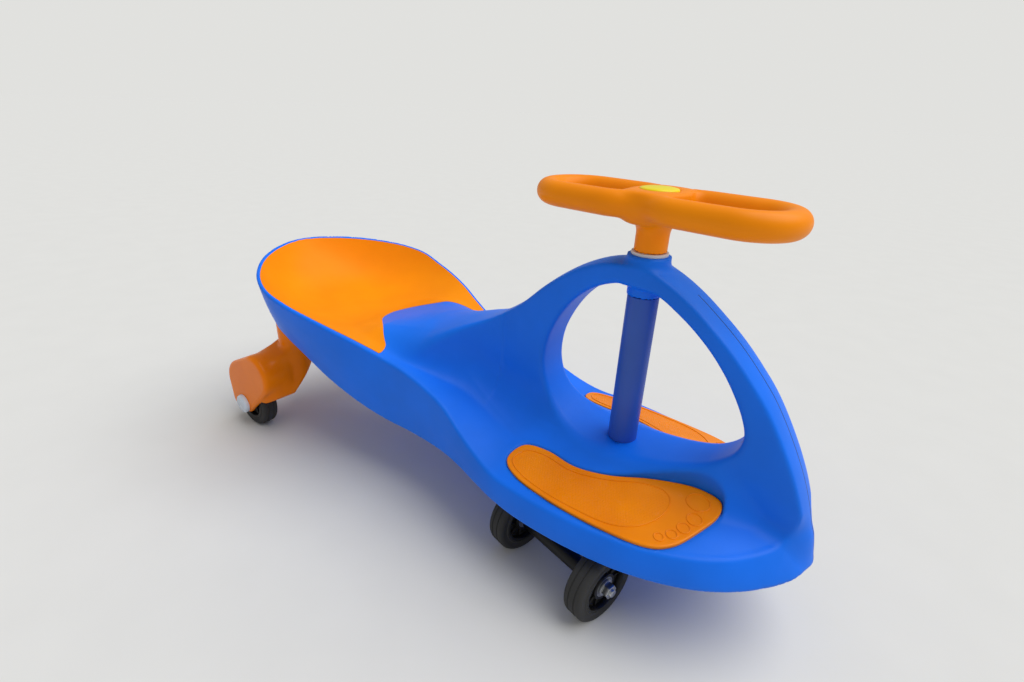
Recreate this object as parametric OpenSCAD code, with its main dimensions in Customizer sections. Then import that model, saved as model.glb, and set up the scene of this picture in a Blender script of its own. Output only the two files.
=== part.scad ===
// Ride-on wiggle car: moulded body with an arch, turning front axle, trailing rear wheels.
// Frame: millimetres, origin on the floor under the middle, +X to the nose, +Y to the left, +Z up.

/* [Body] */
// Length of the moulded body from seat back to nose
body_length = 770; // [600:5:950]
// Widest half width of the seat rim
seat_half = 140; // [100:1:180]
// Height of the seat rim at its back
seat_height = 257; // [200:1:320]
// Height of the arch top above the floor
arch_height = 335; // [290:1:420]
// Wall of the moulding
wall = 4.5; // [3:0.1:7]
// Distance from the nose tip to the steering axis
nose_reach = 197; // [175:1:240]
// Half width of the arch strap
strap_half = 22; // [17:0.5:30]
// Rise of the strap middle above its edges
strap_crown = 5; // [1:0.5:9]
// Width of the moulded cove beside the arch legs
cove_width = 24; // [12:1:40]

/* [Seat and foot pads] */
// Thickness of the seat insert
seat_thick = 3; // [2:0.1:5]
// Depth of the recess the seat insert lies in
seat_recess = 2; // [0.5:0.1:2.5]
// Thickness of a foot pad
pad_thick = 5; // [3.6:0.1:8]
// Depth of the recess a foot pad lies in
pad_recess = 2.5; // [1:0.1:3]
// Length of a foot pad
pad_length = 203; // [150:1:215]
// Height of the relief rings on a foot pad
relief_height = 0.8; // [0.3:0.1:2]
// Width of a relief ring
relief_width = 1.6; // [0.8:0.1:3]

/* [Steering] */
// Angle the steering is turned to the right at rest
steer_angle = 103; // [0:1:180]
// Angle of the steering wheel's long axis at rest
grip_angle = 96; // [0:1:180]
// Half span of the steering wheel
grip_half = 125; // [118:1:150]
// Half width of the steering wheel, to the tube middle
grip_bend = 35; // [28:0.5:42]
// Radius of the steering wheel tube
grip_tube = 11.5; // [10:0.5:14]
// Radius of the steering wheel hub
grip_hub = 26; // [21:0.5:32]
// Radius of the hub's lower stem
stem_radius = 15; // [13:0.5:19]
// Length of the stem below the wheel tube
stem_length = 31; // [15:1:50]
// Radius of the steering shaft
shaft_radius = 8; // [6:0.5:10]
// Outer radius of the column sleeve
sleeve_radius = 15; // [13:0.5:19]
// Wall of the column sleeve
sleeve_wall = 2.2; // [1.5:0.1:3]
// Radius of the hub cap
cap_radius = 17.5; // [13:0.5:22]

/* [Front axle] */
// Distance of the axle from the steering axis
axle_offset = 87; // [60:1:110]
// Distance between the front wheel middles
front_track = 115; // [90:1:140]
// Radius of the cross bar
bar_radius = 9; // [7:0.5:12]

/* [Wheels] */
// Radius of every wheel
wheel_radius = 39; // [30:0.5:45]
// Width of every wheel
wheel_width = 22; // [16:0.5:28]
// Radius of the axle bolts
bolt_radius = 4; // [3:0.25:5]
// Outer radius of a wheel bearing
bearing_radius = 11; // [9:0.25:13]
// Width of a wheel bearing
bearing_width = 7; // [4:0.25:8]
// Depth of the dish in a hub
hub_dish = 2.5; // [1:0.25:5]

/* [Rear legs] */
// Distance of the rear axle ahead of the seat's back
rear_overhang = 40; // [15:1:90]
// Distance of a rear wheel's middle from the middle plane
rear_half = 130; // [105:1:150]
// Thickness of a leg's cheek
cheek = 6.5; // [5:0.5:10]
// Radius of a leg's post
post_radius = 21; // [15:0.5:24]
// Distance of a post ahead of its axle
post_lead = 58; // [45:1:75]
// Distance of a post inside the wheel's middle
post_inset = 46; // [38:1:60]
// Radius of the axle cap
axle_cap_radius = 14; // [10:0.5:18]

/* [Fits] */
// Gap between a moving piece and its neighbour
gap = 0.35; // [0.3:0.05:1]
// Radial clearance of a running fit
run_fit = 0.04; // [0.02:0.01:0.09]
// Clearance round an insert
seat_fit = 0.2; // [0.1:0.05:0.3]
// Gap between a wheel and the leg or bar beside it
side_gap = 2.4; // [1.6:0.1:4]

/* [Hidden] */

// Small sizes of the moulding and its fittings.
seat_inset = 5;
socket_margin = 8;
socket_blend = 22;
bulge = 2.5;
bush_wall = 5;
bush_long = 26;
flange_lip = 4;
flange_thick = 3;
boss_wall = 6;
boss_clear = 20;
boss_drop = 12;
boss_lip = 1;
collar_rise = 6;
collar_radius = 20;
hub_rise = 0.5;
cap_thick = 2.5;
nut_high = 6.5;
nut_radius = 7.5;
nut_room = 2.5;
nut_show = 2;
pocket_deep = 14;
frame_wall = 6;
frame_boss_high = 20;
arm_thick = 14;
washer_thick = 1.6;
washer_wall = 4.5;
spacer_wall = 2.5;
bolt_end = 2.5;
bolt_sunk = 24;
shoulder = 4;
hub_wall = 3;
hub_lip = 2;
thin_nut = 4;
tyre_room = 3.5;
hood_inset = 1;
hood_rise = 30;
knee_lead = 42;
knee_rise = 58;
knee_radius = 31;
screw_radius = 3;
screw_head = 7;
screw_head_thick = 4;
screw_long = 34;
screw_cover = 1;
socket_deep = 11;
rear_head_thick = 5;
cap_rise = 2.5;
// Overlap that lets one solid cut cleanly through another.
cut = 1;
// Shares of the sizes above.
rim_wall_share = 1.8;
tail_share = 0.7442;
nose_share = 0.2558;
deck_top_share = 0.552;
deck_level_share = 0.4235;
rim_share = 0.7;
thread_share = 0.75;
wheel_nut_share = 1.2;
slot_share = 0.8;
pad_from_share = -0.11;
deck_share = 0.7;
heel_shares = [0.08, 0.44];
ball_shares = [0.9, 0.24];
seat_front_shares = [-0.469, -0.458, -0.442, -0.413, -0.386, -0.369, -0.356, -0.348, -0.342, -0.338];
seat_lane_shares = [0, 0.2, 0.4, 0.55, 0.68, 0.78, 0.86, 0.92, 0.97, 1];
// Counts of stations, steps and facets.
stations = 56;
seat_steps = 26;
lane_turn = 48;
hull_turn = 32;
$fn = lane_turn;

axis_x = body_length / 2 - nose_reach;
tail_reach = body_length - nose_reach;
rear_base = tail_reach - rear_overhang;

// Upper rim of the body as shares of body length from the steering axis, seat half width and seat height.
rim_shares = [[-0.7442, 0.05, 1], [-0.738, 0.2, 0.998], [-0.721, 0.40, 0.991], [-0.694, 0.60, 0.98],
    [-0.659, 0.775, 0.964], [-0.617, 0.92, 0.942], [-0.571, 0.998, 0.912], [-0.522, 0.978, 0.871],
    [-0.474, 0.928, 0.836], [-0.43, 0.862, 0.798], [-0.387, 0.78, 0.753], [-0.345, 0.712, 0.71],
    [-0.303, 0.692, 0.682], [-0.26, 0.693, 0.646], [-0.221, 0.714, 0.606], [-0.184, 0.75, 0.54],
    [-0.145, 0.792, 0.485], [-0.108, 0.83, 0.453], [-0.065, 0.852, 0.449], [-0.018, 0.85, 0.445],
    [0.03, 0.826, 0.442], [0.075, 0.785, 0.442], [0.115, 0.727, 0.446], [0.15, 0.64, 0.45],
    [0.18, 0.52, 0.454], [0.203, 0.38, 0.459], [0.218, 0.25, 0.465], [0.226, 0.157, 0.47]];
// Lower edge of the body, in the same shares.
foot_shares = [[-0.7234, 0.05, 0.708], [-0.718, 0.18, 0.704], [-0.704, 0.357, 0.697], [-0.681, 0.543, 0.685],
    [-0.649, 0.693, 0.669], [-0.612, 0.8, 0.658], [-0.568, 0.85, 0.638], [-0.52, 0.846, 0.58],
    [-0.473, 0.814, 0.502], [-0.43, 0.779, 0.444], [-0.387, 0.743, 0.401], [-0.345, 0.714, 0.377],
    [-0.303, 0.688, 0.366], [-0.26, 0.686, 0.361], [-0.221, 0.706, 0.359], [-0.184, 0.748, 0.356],
    [-0.145, 0.805, 0.348], [-0.108, 0.85, 0.338], [-0.065, 0.878, 0.331], [-0.018, 0.884, 0.329],
    [0.032, 0.872, 0.329], [0.08, 0.835, 0.331], [0.125, 0.765, 0.335], [0.165, 0.67, 0.341],
    [0.201, 0.535, 0.347], [0.229, 0.385, 0.352], [0.247, 0.258, 0.355], [0.2558, 0.17, 0.357]];
// Middle of the seat bowl and deck without the arch: shares of body length and seat height.
base_shares = [[-0.7442, 0.999], [-0.738, 0.965], [-0.721, 0.89], [-0.694, 0.81], [-0.659, 0.752],
    [-0.617, 0.722], [-0.571, 0.71], [-0.522, 0.708], [-0.474, 0.712], [-0.43, 0.718], [-0.387, 0.716],
    [-0.345, 0.703], [-0.303, 0.672], [-0.26, 0.635], [-0.221, 0.602], [-0.184, 0.578], [-0.145, 0.564],
    [-0.108, 0.557], [-0.065, 0.553], [-0.018, 0.552], [0.03, 0.552], [0.075, 0.552], [0.115, 0.55],
    [0.15, 0.543], [0.18, 0.528], [0.203, 0.507], [0.218, 0.487], [0.226, 0.472]];
// Exponent of the section from the middle to the rim at the same stations: high in the bowl, low on the deck.
hollow_shares = [2, 2.2, 2.6, 3, 3.2, 3.3, 3.3, 3.2, 3, 2.6, 2.2, 1.9, 1.7, 1.6, 1.5, 1.4, 1.2, 1.1, 1, 1,
    1, 1, 1, 1, 1, 1, 1, 1];
// Top line of the tongue and arch: shares of body length and arch height.
spine_shares = [[-0.53, 0.535], [-0.49, 0.55], [-0.44, 0.577], [-0.385, 0.605], [-0.33, 0.637],
    [-0.28, 0.668], [-0.24, 0.697], [-0.205, 0.737], [-0.168, 0.797], [-0.135, 0.868], [-0.104, 0.925],
    [-0.075, 0.966], [-0.046, 0.992], [-0.018, 1], [0.012, 0.997], [0.04, 0.972], [0.068, 0.934],
    [0.096, 0.886], [0.122, 0.836], [0.148, 0.776], [0.172, 0.708], [0.194, 0.622], [0.212, 0.53],
    [0.2286, 0.42]];
// Half width of the tongue's and arch's top face: shares of body length and strap half width.
flare_shares = [[-0.53, 3.9], [-0.42, 3.8], [-0.36, 3.6], [-0.31, 3.1], [-0.27, 2.3], [-0.245, 1.7],
    [-0.22, 1.27], [-0.19, 1.07], [-0.15, 1]];
// Opening under the arch: shares of body length and arch height, round the loop.
open_shares = [[-0.012, 0.937], [0.025, 0.925], [0.052, 0.892], [0.079, 0.848], [0.104, 0.795],
    [0.126, 0.733], [0.145, 0.66], [0.153, 0.6], [0.146, 0.543], [0.122, 0.492], [0.085, 0.457],
    [0.042, 0.434], [0, 0.424], [-0.042, 0.431], [-0.08, 0.462], [-0.108, 0.523], [-0.121, 0.6],
    [-0.119, 0.69], [-0.106, 0.77], [-0.087, 0.84], [-0.064, 0.892], [-0.039, 0.924]];
// Foot pad outline: shares of its length along and across, toe at one.
pad_shares = [[0, 0.459], [0.02, 0.335], [0.148, 0.301], [0.32, 0.315], [0.488, 0.271], [0.65, 0.187],
    [0.813, 0.125], [0.911, 0.113], [0.985, 0.133], [1, 0.21], [0.961, 0.325], [0.892, 0.458],
    [0.783, 0.527], [0.552, 0.556], [0.31, 0.556], [0.108, 0.527]];
// Toe rings: share along, share across, radius share.
toe_shares = [[0.915, 0.2, 0.055], [0.925, 0.312, 0.036], [0.885, 0.397, 0.032], [0.825, 0.452, 0.029],
    [0.755, 0.483, 0.026]];
// Lanes of the body: shares of the ridge height left at each lane of the strap and cove.
ridge_shares = [1, 1, 1, 1, 1, 0.5, 0.17, 0.04];
crown_shares = [0, 0.12, 0.42, 0.72, 1, 0, 0, 0];
lane_shares = [0.14, 0.45, 1];
// Most of the half width that strap and cove may take where the body is narrow.
strap_most_share = 0.82;
cove_most_share = 0.75;
outer_shares = [0.3, 0.55, 0.78, 0.92, 1];
// Part of the arch legs that is hollow inside, from tongue to arch.
hollow_from_share = -0.45;
hollow_full_share = -0.40;
hollow_last_share = -0.225;
hollow_end_share = -0.185;
hollow_depth_share = 0.86;

// Point on a smooth curve through a list of points, for a share from zero to one.
function mix(a, b, t) = a + (b - a) * t;
function spline(p, q, r, s, t) =
    q + t / 2 * ((r - p) + t * ((2 * p - 5 * q + 4 * r - s) + t * (3 * q - p - 3 * r + s)));
function pick(list, i) = list[max(0, min(len(list) - 1, i))];
function along(list, u) =
    let (f = u * (len(list) - 1), i = min(floor(f), len(list) - 2))
    spline(pick(list, i - 1), list[i], list[i + 1], pick(list, i + 2), f - i);
function round_loop(list, u) =
    let (n = len(list), f = u * n, i = floor(f) % n)
    spline(list[(i + n - 1) % n], list[i], list[(i + 1) % n], list[(i + 2) % n], f - floor(f));
function smooth(a, b, x) = let (t = max(0, min(1, (x - a) / (b - a)))) t * t * (3 - 2 * t);

// Shares run from the tail to the steering axis and on to the nose, and from the deck to the arch top.
function to_x(share) = share < 0 ? share / tail_share * tail_reach : share / nose_share * nose_reach;
deck_top = deck_top_share * seat_height;
function to_arch_z(share) = mix(deck_top, arch_height, (share - deck_level_share) / (1 - deck_level_share));
function rim_at(u) = let (p = along(rim_shares, u)) [to_x(p[0]), p[1] * seat_half, p[2] * seat_height];
function foot_at(u) = let (p = along(foot_shares, u)) [to_x(p[0]), p[1] * seat_half, p[2] * seat_height];
function base_at(u) = along(base_shares, u)[1] * seat_height;

spine_steps = 4 * len(spine_shares);
spine_line = [for (i = [0:spine_steps]) let (p = along(spine_shares, i / spine_steps))
    [to_x(p[0]), to_arch_z(p[1])]];
function spine_z(x) = lookup(x, spine_line);

strap_parts = [0, 0.35, 0.65, 0.85, 1];
ridge_lanes = len(strap_parts) + len(lane_shares);
lanes = ridge_lanes + len(outer_shares);
rows = lanes + 2;

socket_x = -rear_base + post_lead;
socket_y = rear_half - post_inset;
socket_wide = post_radius + socket_margin;

// Place of a lane at one station: strap lanes keep their width until the body grows narrow.
flare_line = [for (p = flare_shares) [to_x(p[0]), p[1] * strap_half]];
function strap_edge(x, w) = min(lookup(x, flare_line), strap_most_share * w);
function lane_y(j, x, w) =
    let (n = len(strap_parts), e = strap_edge(x, w), c = e + min(cove_width, cove_most_share * (w - e)))
    j < n ? strap_parts[j] * e
    : j < ridge_lanes ? mix(e, c, lane_shares[j - n]) : mix(c, w, outer_shares[j - ridge_lanes]);
function bowl_z(u, y, w) =
    mix(base_at(u), rim_at(u)[2], pow(min(1, y / w), along(hollow_shares, u)));
function rise_at(u, x, y, w) = max(0, spine_z(x) - bowl_z(u, y, w));
function ridge_part(j) = j < len(ridge_shares) ? ridge_shares[j] : 0;
function crown_part(j) = j < len(crown_shares) ? crown_shares[j] : 0;
function top_point(u, j) =
    let (r = rim_at(u), y = lane_y(j, r[0], r[1]), b = bowl_z(u, y, r[1]), g = rise_at(u, r[0], y, r[1]))
    [r[0], y, b + max(0, g - crown_part(j) * strap_crown) * ridge_part(j)];
rim_wall = rim_wall_share * wall;
function outer_point(u, j) =
    let (r = rim_at(u), f = foot_at(u))
    j < lanes ? top_point(u, j)
    : j == lanes ? mix(r, f, 0.5) + [0, bulge * min(1, r[1] / seat_half), 0] : f;
function hollow_at(x) =
    hollow_depth_share * smooth(to_x(hollow_from_share), to_x(hollow_full_share), x)
    * (1 - smooth(to_x(hollow_last_share), to_x(hollow_end_share), x));
function socket_part(x, y, limit) =
    (1 - smooth(socket_wide, socket_wide + socket_blend, norm([x - socket_x, y - socket_y])))
    * (1 - smooth(limit - socket_blend, limit, y));
// Inside of the moulding: the bowl and deck set down by the wall along their slope, inside an inset rim.
station_step = 1 / stations / 4;
rim_line = [for (i = [0:4 * stations]) [rim_at(i * station_step)[0], i * station_step]];
function outward(u) =
    let (a = rim_at(max(0, u - station_step)), b = rim_at(min(1, u + station_step)), t = b - a)
    [-t[1], t[0], 0] / norm([t[0], t[1]]);
function bowl_point(u, y) = let (r = rim_at(u)) [r[0], y, bowl_z(u, y, r[1])];
seat_floor = min([for (a = [-1, 1], b = [-1, 1])
    bowl_point(lookup(socket_x + a * screw_head, rim_line), socket_y + b * screw_head)[2]]);
screw_seat = seat_floor - seat_recess - screw_head_thick - screw_cover;
post_top = screw_seat - wall;
socket_low = post_top - socket_deep;
function under_point(x, y) =
    let (u = lookup(x, rim_line), p = bowl_point(u, y), a = bowl_point(u - station_step, y),
        b = bowl_point(u + station_step, y), c = bowl_point(u, y + cut),
        fall = [(b[2] - a[2]) / (b[0] - a[0]), (c[2] - p[2]) / cut])
    [x, y, p[2] - wall * sqrt(1 + fall * fall)];
function inner_point(u, j) =
    let (o = outer_point(u, j), r = rim_at(u), n = outward(u), i = r - n * rim_wall)
    j >= lanes ? o - n * wall
    : let (p = under_point(i[0], o[1] * i[1] / r[1]), f = foot_at(u)[1] - wall,
        g = max(0, spine_z(p[0]) - p[2] - wall) * ridge_part(j) * hollow_at(p[0]), low = p[2] + g)
    [p[0], p[1], mix(low, min(low, socket_low), socket_part(p[0], p[1], f))];
function side(p, s) = [p[0], s * p[1], p[2]];
// Beyond the first and last station the lanes run down the end, between the two side walls' end lines.
function foot_line(u, j, inset) =
    let (f = foot_at(u) - outward(u) * inset, part = min(1, outer_point(u, j)[1] / rim_at(u)[1]))
    [f[0], part * f[1], f[2]];
function end_part(i) = max(0, -i, i - stations);
function outer_at(i) =
    let (u = max(0, min(1, i / stations)), e = end_part(i))
    [for (j = [0:rows - 1])
        j >= lanes - 1 ? outer_point(u, min(rows - 1, max(j, lanes - 1 + e)))
        : e == 0 ? outer_point(u, j) : mix(outer_point(u, j), foot_line(u, j, 0), e / end_rows)];
function inner_at(i) =
    let (u = max(0, min(1, i / stations)), e = end_part(i))
    [for (j = [0:rows - 1])
        j >= lanes - 1 ? inner_point(u, min(rows - 1, max(j, lanes - 1 + e)))
        : e == 0 ? inner_point(u, j) : mix(inner_point(u, j), foot_line(u, j, wall), e / end_rows)];
function both_sides(half) =
    [for (j = [-(rows - 1):rows - 1]) side(half[abs(j)], sign(j))];
end_rows = rows - lanes;
rings = stations + 2 * end_rows;
across = 2 * rows - 1;
function first_lane(i) = i < end_rows || i >= rings - end_rows ? end_rows : 0;
shell_points = [for (i = [-end_rows:stations + end_rows])
    each concat(both_sides(outer_at(i)), both_sides(inner_at(i)))];
function at_ring(i, k) = i * 2 * across + k;
shell_faces = concat(
    [for (i = [0:rings - 1], k = first_lane(i), j = [k:across - 2 - k], h = [0, 1])
        let (a = at_ring(i, j), b = at_ring(i + 1, j)) h == 0 ? [a, a + 1, b] : [a + 1, b + 1, b]],
    [for (i = [0:rings - 1], k = first_lane(i), j = [k:across - 2 - k], h = [0, 1])
        let (a = at_ring(i, across + j), b = at_ring(i + 1, across + j))
        h == 0 ? [a + 1, a, b] : [b + 1, a + 1, b]],
    [for (i = [end_rows:rings - end_rows - 1], h = [0, 1])
        let (a = at_ring(i, 0), b = at_ring(i + 1, 0), c = a + across, d = b + across)
        h == 0 ? [a, b, c] : [c, b, d]],
    [for (i = [end_rows:rings - end_rows - 1], h = [0, 1])
        let (a = at_ring(i, across - 1), b = at_ring(i + 1, across - 1), c = a + across, d = b + across)
        h == 0 ? [b, a, c] : [b, c, d]],
    [for (j = [end_rows:across - 2 - end_rows], h = [0, 1])
        let (a = at_ring(0, j), c = a + across) h == 0 ? [a + 1, a, c] : [a + 1, c, c + 1]],
    [for (j = [end_rows:across - 2 - end_rows], h = [0, 1])
        let (a = at_ring(rings, j), c = a + across) h == 0 ? [a, a + 1, c] : [a + 1, c + 1, c]]);

// Steering heights, from the floor up.
axle_z = wheel_radius;
open_heights = [for (p = open_shares) to_arch_z(p[1])];
deck_z = min(open_heights);
arch_low = max(open_heights);
boss_low = 2 * wheel_radius + boss_clear;
bush_radius = shaft_radius + bush_wall;
bush_flange = bush_radius + flange_lip;
boss_radius = bush_radius + boss_wall;
sleeve_top = arch_low - boss_drop;
collar_top = arch_height + collar_rise;
stem_low = collar_top + flange_thick + gap;
grip_z = stem_low + stem_length + grip_tube;
hub_top = grip_z + grip_tube + hub_rise;
nut_pocket = nut_radius + nut_room;
nut_seat = hub_top - pocket_deep;
shaft_top = nut_seat + nut_high + nut_show;
frame_top = boss_low - flange_thick - gap;
frame_boss = shaft_radius + frame_wall;
frame_boss_low = frame_top - frame_boss_high;

// Front wheel stack, measured along the axle from the middle.
hub_width = wheel_width - 2 * hub_dish;
hub_half = hub_width / 2;
wheel_mid = front_track / 2;
hub_in = wheel_mid - hub_half;
hub_out = wheel_mid + hub_half;
bar_half = wheel_mid - wheel_width / 2 - side_gap;
washer_radius = bolt_radius + washer_wall;
spacer_radius = bolt_radius + spacer_wall;
rim_radius = wheel_radius * rim_share;

// Rear leg.
rear_x = -rear_base;
slot_gap = slot_share * side_gap;
pocket_radius = wheel_radius + tyre_room;
slot_half = wheel_width / 2 + slot_gap;
cheek_out = slot_half + cheek;
hood_radius = wheel_radius / 2;
hood_big = wheel_radius - hood_inset;

// Foot pads lie on a deck plane that falls from the middle to the rim, and a little towards the nose.
pad_x0 = to_x(pad_from_share);
deck_rim = rim_at(deck_share);
deck_tilt = atan2(base_at(deck_share) - deck_rim[2], deck_rim[1]);
function deck_point(p) = bowl_point(lookup(pad_x0 + p[0] * pad_length, rim_line), p[1] * pad_length);
function middle_z(p) = p[2] + p[1] * tan(deck_tilt);
pad_heel = deck_point(heel_shares);
pad_toe = deck_point(ball_shares);
deck_fall = atan2(middle_z(pad_heel) - middle_z(pad_toe), pad_toe[0] - pad_heel[0]);
deck_mid_z = middle_z(pad_heel) + (pad_heel[0] - pad_x0) * tan(deck_fall);

module at_axis() {
    translate([axis_x, 0, 0])
        children();
}

module turned() {
    at_axis()
        rotate([0, 0, -steer_angle])
            children();
}

// Cylinder whose axis runs along Y.
module across_rod(r, from, to) {
    translate([0, from, 0])
        rotate([-90, 0, 0])
            cylinder(r = r, h = to - from);
}

module tube(ro, ri, h) {
    difference() {
        cylinder(r = ro, h = h);
        translate([0, 0, -cut])
            cylinder(r = ri, h = h + 2 * cut);
    }
}

module pad_shape(grow) {
    loop = [for (i = [0:lane_turn - 1]) let (p = round_loop(pad_shares, i / lane_turn))
        [p[0] * pad_length, p[1] * pad_length]];
    offset(delta = grow)
        polygon(loop);
}

// Places a foot pad drawn flat: length along X, inner edge towards the middle.
module on_deck(s) {
    translate([pad_x0, 0, deck_mid_z])
        mirror([0, s > 0 ? 0 : 1, 0])
            rotate([0, deck_fall, 0])
                rotate([-deck_tilt, 0, 0])
                    children();
}

module arch_opening() {
    loop = [for (i = [0:2 * lane_turn - 1]) let (p = round_loop(open_shares, i / lane_turn / 2))
        [to_x(p[0]), to_arch_z(p[1])]];
    rotate([90, 0, 0])
        linear_extrude(height = 2 * seat_half, center = true)
            polygon(loop);
}

module body_shell() {
    color([0.12, 0.37, 0.85])
        at_axis()
            difference() {
                union() {
                    difference() {
                        polyhedron(points = shell_points, faces = shell_faces, convexity = 8);
                        arch_opening();
                        for (s = [-1, 1])
                            on_deck(s)
                                translate([0, 0, -pad_recess])
                                    linear_extrude(height = 4 * pad_thick)
                                        pad_shape(seat_fit);
                    }
                    translate([0, 0, boss_low])
                        cylinder(r = boss_radius, h = deck_z - boss_low);
                    translate([0, 0, sleeve_top])
                        cylinder(r = sleeve_radius + boss_lip, h = collar_top - sleeve_top - collar_rise);
                    translate([0, 0, sleeve_top + boss_drop])
                        cylinder(r = collar_radius, h = collar_top - sleeve_top - boss_drop);
                }
                translate([0, 0, boss_low - cut])
                    cylinder(r = bush_radius, h = collar_top - boss_low + 2 * cut);
                translate([0, 0, deck_z])
                    cylinder(r = sleeve_radius + seat_fit, h = sleeve_top - deck_z);
                seat_room();
                for (s = [-1, 1])
                    translate([socket_x, s * socket_y, 0]) {
                        cylinder(r = post_radius + seat_fit, h = post_top);
                        translate([0, 0, post_top - cut])
                            cylinder(r = screw_radius + seat_fit, h = seat_height - post_top);
                        translate([0, 0, screw_seat])
                            cylinder(r = screw_head + seat_fit, h = seat_height - screw_seat);
                    }
            }
}

module seat_pad() {
    color([1, 0.51, 0.02])
        at_axis()
            polyhedron(points = seat_points(seat_fit - seat_recess, seat_thick - seat_recess, seat_fit),
                faces = seat_faces, convexity = 6);
}

// Room in the body that the seat insert lies in.
module seat_room() {
    polyhedron(points = seat_points(-seat_recess, 2 * seat_thick, 0), faces = seat_faces, convexity = 6);
}

// The seat insert follows the bowl and tongue, inside a line set in from the rim.
seat_lanes = len(seat_front_shares) - 1;
function lane_part(x, y, w, parts) =
    lookup(y, [for (j = [0:ridge_lanes]) [lane_y(j, x, w), j < len(parts) ? parts[j] : 0]]);
function top_z(x, y) =
    let (u = lookup(x, rim_line), w = rim_at(u)[1], g = rise_at(u, x, y, w))
    bowl_z(u, y, w) + max(0, g - lane_part(x, y, w, crown_shares) * strap_crown)
    * lane_part(x, y, w, ridge_shares);
function seat_point(i, j, h, inset) =
    let (k = abs(j), last = lookup(to_x(seat_front_shares[k]) - inset, rim_line), u = last * i / seat_steps,
        e = rim_at(u) - outward(u) * (seat_inset + inset), y = e[1] * seat_lane_shares[k])
    [e[0], sign(j) * y, top_z(e[0], y) + h];
seat_across = 2 * seat_lanes + 1;
function seat_points(low, high, inset) =
    [for (h = [high, low], i = [0:seat_steps], j = [-seat_lanes:seat_lanes]) seat_point(i, j, h, inset)];
function seat_at(h, i, j) = h * (seat_steps + 1) * seat_across + i * seat_across + j;
seat_faces = concat(
    [for (i = [0:seat_steps - 1], j = [0:seat_across - 2], h = [0, 1])
        let (a = seat_at(0, i, j), b = seat_at(0, i + 1, j)) h == 0 ? [a, a + 1, b] : [a + 1, b + 1, b]],
    [for (i = [0:seat_steps - 1], j = [0:seat_across - 2], h = [0, 1])
        let (a = seat_at(1, i, j), b = seat_at(1, i + 1, j)) h == 0 ? [a + 1, a, b] : [b + 1, a + 1, b]],
    [for (i = [0:seat_steps - 1], h = [0, 1])
        let (a = seat_at(0, i, 0), b = seat_at(0, i + 1, 0), c = seat_at(1, i, 0), d = seat_at(1, i + 1, 0))
        h == 0 ? [a, b, c] : [c, b, d]],
    [for (i = [0:seat_steps - 1], h = [0, 1])
        let (e = seat_across - 1, a = seat_at(0, i, e), b = seat_at(0, i + 1, e), c = seat_at(1, i, e),
            d = seat_at(1, i + 1, e))
        h == 0 ? [b, a, c] : [b, c, d]],
    [for (j = [0:seat_across - 2], h = [0, 1])
        let (a = seat_at(0, 0, j), c = seat_at(1, 0, j)) h == 0 ? [a + 1, a, c] : [a + 1, c, c + 1]],
    [for (j = [0:seat_across - 2], h = [0, 1])
        let (a = seat_at(0, seat_steps, j), c = seat_at(1, seat_steps, j))
        h == 0 ? [a, a + 1, c] : [a + 1, c + 1, c]]);

module foot_pad(s) {
    color([1, 0.51, 0.02])
        at_axis()
            on_deck(s) {
                translate([0, 0, -pad_recess])
                    linear_extrude(height = pad_thick)
                        pad_shape(0);
                for (t = toe_shares)
                    translate([t[0] * pad_length, t[1] * pad_length, pad_thick - pad_recess])
                        tube(t[2] * pad_length, t[2] * pad_length - relief_width, relief_height);
            }
}

module foot_pad_right() {
    foot_pad(-1);
}

module foot_pad_left() {
    foot_pad(1);
}

module column_sleeve() {
    color([0.2, 0.31, 0.63])
        at_axis()
            translate([0, 0, deck_z])
                tube(sleeve_radius, sleeve_radius - sleeve_wall, sleeve_top - deck_z);
}

// Flanged bush: the flange lies at the bottom.
module bush(h) {
    difference() {
        union() {
            cylinder(r = bush_flange, h = flange_thick);
            cylinder(r = bush_radius, h = h);
        }
        translate([0, 0, -cut])
            cylinder(r = shaft_radius + run_fit, h = h + 2 * cut);
    }
}

module upper_bush() {
    color([0.82, 0.83, 0.85])
        at_axis()
            translate([0, 0, collar_top + flange_thick])
                rotate([180, 0, 0])
                    bush(bush_long);
}

module lower_bush() {
    color([0.82, 0.83, 0.85])
        at_axis()
            translate([0, 0, boss_low - flange_thick])
                bush(bush_long);
}

// One hand loop of the steering wheel, on the +X side of its middle.
module grip_loop() {
    far = grip_half - grip_bend - grip_tube;
    for (s = [-1, 1])
        translate([grip_bend, s * grip_bend, 0])
            rotate([0, 90, 0])
                cylinder(r = grip_tube, h = far - grip_bend);
    translate([far, 0, 0])
        rotate([0, 0, -90])
            rotate_extrude(angle = 180)
                translate([grip_bend, 0])
                    circle(r = grip_tube);
    translate([grip_bend, 0, 0])
        rotate([0, 0, 90])
            rotate_extrude(angle = 180)
                translate([grip_bend, 0])
                    circle(r = grip_tube);
}

module steering_wheel() {
    color([1, 0.51, 0.02])
        at_axis()
            rotate([0, 0, 90 - grip_angle])
                difference() {
                    union() {
                        translate([0, 0, grip_z])
                            for (a = [0, 180])
                                rotate([0, 0, a])
                                    grip_loop();
                        translate([0, 0, grip_z - grip_tube])
                            cylinder(r = grip_hub, h = hub_top - grip_z + grip_tube);
                        translate([0, 0, stem_low])
                            cylinder(r = stem_radius, h = stem_length + grip_tube);
                    }
                    translate([0, 0, stem_low - cut])
                        cylinder(r = shaft_radius, h = hub_top - stem_low + 2 * cut);
                    translate([0, 0, nut_seat])
                        cylinder(r = nut_pocket, h = pocket_deep + cut);
                }
}

module hub_cap() {
    color([0.98, 0.88, 0.08])
        at_axis()
            translate([0, 0, hub_top]) {
                cylinder(r1 = cap_radius, r2 = cap_radius - cap_thick, h = cap_thick);
                translate([0, 0, -cap_thick])
                    cylinder(r = nut_pocket - seat_fit, h = cap_thick);
            }
}

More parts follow.
